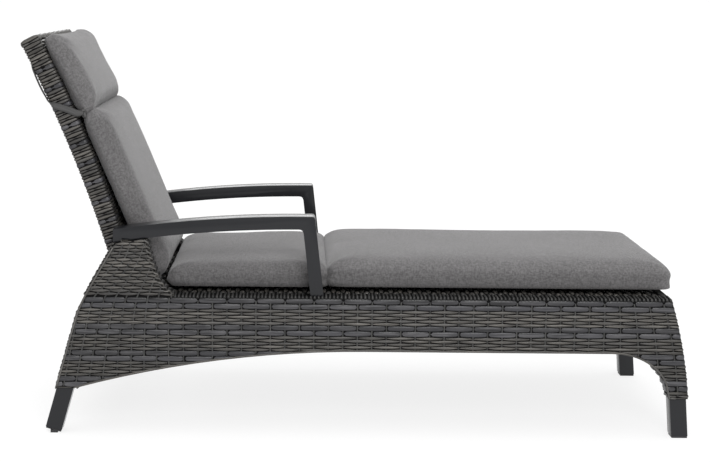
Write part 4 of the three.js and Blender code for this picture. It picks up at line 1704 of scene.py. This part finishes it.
    def _rolled(self, local: np.ndarray) -> np.ndarray:
        """Crown the face and round it down towards the ends and the sides.

        Args:
            local: Points in the cushion's axes.

        Returns:
            The moved points.
        """
        half = self.sizes / 2.0
        near_end = smooth((np.abs(local[:, 0]) - (half[0] - self.roll_along)) / self.roll_along)
        near_side = smooth((np.abs(local[:, 1]) - (half[1] - self.roll_across)) / self.roll_across)
        face = np.clip(local[:, 2] / half[2], 0.0, 1.0)
        moved = local.copy()
        moved[:, 2] -= face * half[2] * self.end_roll * (near_end ** 2 + 0.7 * near_side ** 2)
        crown = (1.0 - (local[:, 0] / half[0]) ** 10) * (1.0 - (local[:, 1] / half[1]) ** 4)
        moved[:, 2] += face * np.clip(crown, 0.0, 1.0) * self.crown
        return moved

    def _gathered(self, local: np.ndarray, share_u: np.ndarray, share_v: np.ndarray) -> np.ndarray:
        """Pucker the fabric near the corners and let the faces roll a little.

        Args:
            local: Points in the cushion's axes.
            share_u: Place along it, -1 to 1.
            share_v: Place across it, -1 to 1.

        Returns:
            The moved points.
        """
        half = self.sizes / 2.0
        height = local[:, 2] / half[2]
        moved = local.copy()
        for end in (-1.0, 1.0):
            for hand in (-1.0, 1.0):
                du = local[:, 0] - end * half[0]
                dv = local[:, 1] - hand * half[1]
                distance = np.hypot(du, dv)
                turn = np.arctan2(dv * hand, du * end)
                fold = np.sin(turn * 9.0 + end * 1.3 + hand * 0.7)
                fold = fold * np.exp(-(distance / self.pucker_reach) ** 2)
                moved[:, 2] += self.pucker * fold * height
                crease = np.sin(height * 7.0 + end + 2.0 * hand)
                crease = crease * np.exp(-(distance / self.crease_reach) ** 2)
                moved[:, 0] += 0.0022 * crease * end
                moved[:, 1] += 0.0016 * crease * hand
        roll = np.sin(share_u * 5.1 + self.length * 9.0) * np.cos(share_v * 2.3 + 0.5)
        moved[:, 2] += 0.0012 * roll * np.clip(height, 0.0, 1.0)
        return moved

    def _lay(self, piece: bpy.types.Object) -> None:
        """Give the fabric coordinates along, across and out of the cushion.

        Args:
            piece: The cushion.
        """
        points = np.array([v.co for v in piece.data.vertices], float)
        attribute = piece.data.attributes.new(LAY, "FLOAT_VECTOR", "POINT")
        attribute.data.foreach_set("vector", self._local(points).astype(np.float32).ravel())

    def _welt(self, piece: bpy.types.Object) -> bpy.types.Object:
        """Sew a narrow welt round the cushion.

        Args:
            piece: The cushion.

        Returns:
            The welt.
        """
        local = self._local(np.array([v.co for v in piece.data.vertices], float))
        faces = [tuple(p.vertices) for p in piece.data.polygons]
        tree = BVHTree.FromPolygons([Vector(p) for p in local], faces)
        half = self.sizes / 2.0
        angle = np.linspace(0.0, math.tau, 420, endpoint=False)
        direction = np.stack([np.cos(angle) * half[0], np.sin(angle) * half[1]], axis=1)
        square = np.maximum(np.abs(direction[:, 0]) / half[0], np.abs(direction[:, 1]) / half[1])
        spots, normals = [], []
        for u, v in direction / square[:, None] * 1.3:
            aim = Vector((-u, -v, 0.0)).normalized()
            hit, normal, _, _ = tree.ray_cast(Vector((u, v, self.welt_level * half[2])), aim)
            if hit is not None:
                spots.append(hit)
                normals.append(normal)
        line, out = np.array(spots), np.array(normals)
        for _ in range(3):
            line = (np.roll(line, 1, axis=0) + line * 2.0 + np.roll(line, -1, axis=0)) / 4.0
        tangent = unit(np.roll(line, -1, axis=0) - np.roll(line, 1, axis=0))
        side = unit(np.cross(tangent, out))
        mesh = StrandMesh(SEED + 31)
        mesh.add(Course(self._world(line + out * 0.0002), side @ self.frame, out @ self.frame,
                        self.welt_radius, self.welt_radius * 0.7, Grade.NARROW, True))
        return mesh.build(f"{self.name}_welt", (Look.WELT,))

    def build(self) -> list[bpy.types.Object]:
        """Build the cushion and its welt.

        Returns:
            The cushion, then its welt.
        """
        piece = self._block()
        self._shape(piece)
        self._lay(piece)
        piece.data.materials.clear()
        piece.data.materials.append(dressed(Look.FABRIC))
        piece.data.polygons.foreach_set("use_smooth", np.ones(len(piece.data.polygons), bool))
        welt = self._welt(piece)
        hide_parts(self.node)
        return [piece, welt]


@dataclass
class Mattress:
    """Four cushions: leg, seat, back and head."""

    bend_length: float = 0.036
    spill: tuple[float, float, float] = (0.009, 0.012, 0.014)

    def build(self) -> list[bpy.types.Object]:
        """Build the cushions and hang all but the seat cushion on their bodies.

        Returns:
            Their pieces.
        """
        leg = Cushion("leg_pad", "leg_cushion", voxel=0.008, round_off=0.022, rests=True, end_roll=0.12,
                      reach_low=0.006, spill=(0.003, 0.0, 0.016), crown=0.015)
        seat = Cushion("seat_pad", "seat_cushion", rear_thickness=0.062, round_off=0.021, rests=True,
                       end_roll=0.10, reach_low=0.014, reach_high=0.006)
        back = Cushion("back_pad", "back_cushion", angle=67.2, length=0.436, thickness=0.060,
                       round_off=0.028, end_roll=0.35, spill=self.spill, crown=0.010, reach_high=0.006,
                       even=6)
        head = Cushion("head_pad", "head_cushion", angle=63.2, length=0.189, thickness=0.054, voxel=0.0055,
                       round_off=0.025, end_roll=0.35, spill=self.spill, crown=0.010, reach_low=0.006,
                       reach_high=0.012, even=5)
        pieces = []
        for cushion, body in ((leg, "base"), (back, "backrest"), (head, "backrest")):
            made = cushion.build()
            for part in made:
                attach(part, body)
            pieces += made
        made = seat.build()
        rear = -seat.length / 2.0 - seat.reach_low
        start = seat._world(np.array([rear + self.bend_length, 0.0, 0.0]))
        end = seat._world(np.array([rear, 0.0, 0.0]))
        for part in made:
            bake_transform(part)
        return pieces + made


@dataclass
class HeadTie:
    """Fabric tie from the seam between head and back cushion round the backrest."""

    curve: BackCurve
    half: float = 0.021
    half_width: float = 0.268
    band: float = 0.0085
    crown: float = 0.0022
    knot_scale: float = 0.0030
    knot_half: float = 0.0034
    knot_crown: float = 0.0026

    def _line(self, hand: float) -> tuple[np.ndarray, np.ndarray]:
        """Route of one half of the tie, and its outward directions.

        Args:
            hand: -1 on the right, 1 on the left.

        Returns:
            Points and outward directions.
        """
        side = self.half_width + 0.0050
        rear = -self.half - 0.0050
        stops = np.array([
            (0.467, 0.040, side - 0.010), (0.469, 0.034, side - 0.004), (0.474, 0.026, side),
            (0.490, 0.010, side + 0.0008), (0.509, -0.012, side + 0.0008),
            (0.524, rear + 0.004, side - 0.0005), (0.539, rear + 0.002, side - 0.001),
            (0.562, rear + 0.0005, side - 0.0015), (0.590, rear + 0.001, side - 0.003),
            (0.615, rear + 0.0015, side - 0.020), (0.630, rear, side - 0.100), (0.636, rear, 0.080),
            (0.638, rear, 0.0),
        ])
        spread = np.linspace(0.0, len(stops) - 1.0, 90)
        s, n, y = (self._spline(column, spread) for column in stops.T)
        outward = self.curve.forward(s) * np.clip(n / self.half, -1.0, 0.0)[:, None]
        share = smooth((y - (self.half_width - 0.012)) / 0.012) * smooth((n + 0.026) / 0.02)
        facing = outward * (1.0 - share)[:, None] + ACROSS * hand * share[:, None]
        facing /= np.maximum(np.linalg.norm(facing, axis=1), TOUCH)[:, None]
        return self.curve.point(s, n, y * hand), facing

    @staticmethod
    def _spline(values: np.ndarray, spread: np.ndarray) -> np.ndarray:
        """A smooth line through values at whole numbers.

        Args:
            values: Values at 0, 1, 2 and so on.
            spread: Where it is read.

        Returns:
            The values there.
        """
        index = np.clip(spread.astype(int), 0, len(values) - 2)
        t = spread - index
        before = values[np.maximum(index - 1, 0)]
        a, b = values[index], values[index + 1]
        after = values[np.minimum(index + 2, len(values) - 1)]
        return 0.5 * (2 * a + (b - before) * t + (2 * before - 5 * a + 4 * b - after) * t ** 2
                      + (3 * a - before - 3 * b + after) * t ** 3)

    def _knot(self, mesh: StrandMesh, hand: float) -> None:
        """Tie a small knot at the seam.

        Args:
            mesh: Mesh that takes it.
            hand: -1 on the right, 1 on the left.
        """
        t = np.linspace(0.0, math.tau, 72, endpoint=False)
        scale = self.knot_scale
        n = 0.040 + scale * (np.sin(t) + 2.0 * np.sin(2.0 * t)) * 0.8
        s = 0.466 + scale * (np.cos(t) - 2.0 * np.cos(2.0 * t))
        y = hand * (self.half_width - 0.010 - scale * np.sin(3.0 * t))
        place = self.curve.point(s, n, y)
        tangent = unit(np.roll(place, -1, axis=0) - np.roll(place, 1, axis=0))
        out = unit(ACROSS * hand - tangent * (tangent @ (ACROSS * hand))[:, None])
        side = np.cross(tangent, out)
        mesh.add(Course(place, side, out, self.knot_half, self.knot_crown, Grade.NARROW, True))

    def build(self) -> list[bpy.types.Object]:
        """Build the tie.

        Returns:
            The tie.
        """
        mesh = StrandMesh(SEED + 41)
        for hand in (-1.0, 1.0):
            points, facing = self._line(hand)
            tangent = unit(np.gradient(points, axis=0))
            side = unit(np.cross(tangent, facing))
            run = np.linspace(0.0, 1.0, len(points))
            width = self.band * (0.55 + 0.45 * smooth(run / 0.12))
            mesh.add(Course(points, side, np.cross(side, tangent), width, self.crown, Grade.NARROW))
            self._knot(mesh, hand)
        piece = mesh.build("head_tie", (Look.TAPE,))
        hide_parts("head_strap")
        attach(piece, "backrest")
        return [piece]


# ---------------------------------------------------------------- hard parts


@dataclass
class HardParts:
    """Frame nodes that stay: they get their finish and softened edges."""

    nodes: dict[str, bpy.types.Object]
    edge: float = 0.0010

    LOOKS = {
        Look.METAL: ("armrest", "front_leg", "rear_leg", "side_rail", "arch_bar", "shoulder_post",
                     "cross_rail", "rear_rail", "foot_rail", "back_stile", "back_bottom_rail",
                     "back_prop_rail", "back_middle_rail", "back_top_rail"),
        Look.STEEL: ("recline_plate", "hinge_pin", "prop"),
        Look.PLASTIC: ("hinge_bush", "front_glide", "rear_glide"),
        # The woven frame nodes get the near-black painted shade finish that shows between the strands.
        Look.UNDER_SHADE: ("woven",),
    }
    SOFTENED = ("armrest", "front_leg", "rear_leg", "front_glide", "rear_glide", "recline_plate",
                "prop_arm")

    def build(self) -> list[bpy.types.Object]:
        """Dress every frame node that is still shown.

        Returns:
            The nodes.
        """
        shown = []
        for name, node in self.nodes.items():
            if node.hide_render:
                continue
            look = next(look for look, starts in self.LOOKS.items() if name.startswith(starts))
            node.data.materials.clear()
            node.data.materials.append(dressed(look))
            if name.startswith(self.SOFTENED):
                self._soften(node)
            shown.append(node)
        return shown

    def _soften(self, node: bpy.types.Object) -> None:
        """Round a node's edges with modifiers.

        Args:
            node: The node.
        """
        weld = node.modifiers.new("weld", "WELD")
        weld.merge_threshold = 1e-5
        bevel = node.modifiers.new("edge", "BEVEL")
        bevel.width, bevel.segments = self.edge, 3
        bevel.limit_method, bevel.angle_limit = "ANGLE", math.radians(32.0)
        bevel.harden_normals = True
        node.data.polygons.foreach_set("use_smooth", np.ones(len(node.data.polygons), bool))


# ---------------------------------------------------------------- studio


@dataclass
class Studio:
    """Pale floor, soft light and the camera."""

    eye: Vector = field(default_factory=lambda: Vector((-0.1440, -4.0141, 1.0832)))
    yaw: float = 0.0007
    pitch: float = 0.155
    roll: float = 0.0089
    lens: float = 78.48
    shift: float = 0.0775
    sensor: float = 36.0
    floor_side: float = 1600.0
    view_depth: float = 2000.0
    world_strength: float = 0.66
    sun_strength: float = 1.05
    sun_spread: float = math.radians(60.0)

    def _camera(self) -> None:
        """Set up the camera."""
        forward = Vector((math.sin(self.yaw) * math.cos(self.pitch),
                          math.cos(self.yaw) * math.cos(self.pitch), -math.sin(self.pitch)))
        right = Vector((math.cos(self.yaw), -math.sin(self.yaw), 0.0))
        up = right.cross(forward)
        x = right * math.cos(self.roll) + up * math.sin(self.roll)
        y = up * math.cos(self.roll) - right * math.sin(self.roll)
        data = bpy.data.cameras.new("view")
        data.lens, data.sensor_width, data.sensor_fit = self.lens, self.sensor, "HORIZONTAL"
        data.shift_x = self.shift
        data.clip_end = self.view_depth
        camera = bpy.data.objects.new("view", data)
        camera.matrix_world = Matrix.Translation(self.eye) @ Matrix((x, y, -forward)).transposed().to_4x4()
        bpy.context.scene.collection.objects.link(camera)
        bpy.context.scene.camera = camera

    def _lamp(self, name: str, place: tuple[float, float, float], aim: tuple[float, float, float],
              size: float, power: float) -> None:
        """Hang one soft lamp.

        Args:
            name: Its name.
            place: Where it hangs.
            aim: What it faces.
            size: Side of its square.
            power: Watts.
        """
        data = bpy.data.lights.new(name, "AREA")
        data.size, data.energy = size, power
        lamp = bpy.data.objects.new(name, data)
        lamp.location = place
        lamp.rotation_euler = (Vector(aim) - Vector(place)).to_track_quat("-Z", "Y").to_euler()
        bpy.context.scene.collection.objects.link(lamp)

    def build(self) -> None:
        """Build the studio."""
        self._camera()
        bpy.ops.mesh.primitive_plane_add(size=self.floor_side)
        floor = bpy.context.object
        floor.name = "studio_floor"
        floor.data.materials.append(dressed(Look.FLOOR))
        world = bpy.data.worlds.new("studio")
        world.use_nodes = True
        sky = world.node_tree.nodes["Background"]
        sky.inputs["Color"].default_value = grey(1.0, 1.0, 1.0)
        sky.inputs["Strength"].default_value = self.world_strength
        bpy.context.scene.world = world
        bpy.context.scene.view_settings.view_transform = "Standard"
        self._lamp("top_light", (0.2, 0.3, 3.4), (0.0, 0.0, 0.3), 2.4, 22.0)
        self._lamp("front_light", (0.6, -4.6, 2.9), (0.0, 0.0, 0.4), 1.8, 120.0)
        self._lamp("rear_light", (0.2, 5.6, 2.7), (0.0, 0.0, 0.5), 2.6, 44.0)
        sun = bpy.data.lights.new("soft_sun", "SUN")
        sun.energy, sun.angle = self.sun_strength, self.sun_spread
        high = bpy.data.objects.new("soft_sun", sun)
        high.rotation_euler = (math.radians(14.0), math.radians(-10.0), 0.0)
        bpy.context.scene.collection.objects.link(high)


# ---------------------------------------------------------------- building


def report(pieces: Sequence[bpy.types.Object]) -> None:
    """Log the name and the face count of each piece."""
    for piece in pieces:
        LOG.info("%s: %d faces", piece.name, len(piece.data.polygons))


def main() -> None:
    """Load the frame and build every sub-assembly around it."""
    logging.basicConfig(level=logging.INFO, format="%(name)s: %(message)s")
    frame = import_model()
    nodes = frame["nodes"]
    joint = next(joint for joint in frame["joints"] if joint["name"] == "recline")
    curve = BackCurve(Vector(joint["pos_m"]))
    right = WovenSide(nodes["woven_side_right"], -1, "woven_side_right_strands")
    left = WovenSide(nodes["woven_side_left"], 1, "woven_side_left_strands")
    parts = (right, left, WovenEnds(right.outline), WovenBack(curve), Mattress(), HeadTie(curve),
             HardParts(nodes))
    for part in parts:
        report(part.build())
    Studio().build()


if __name__ == "__main__":
    main()
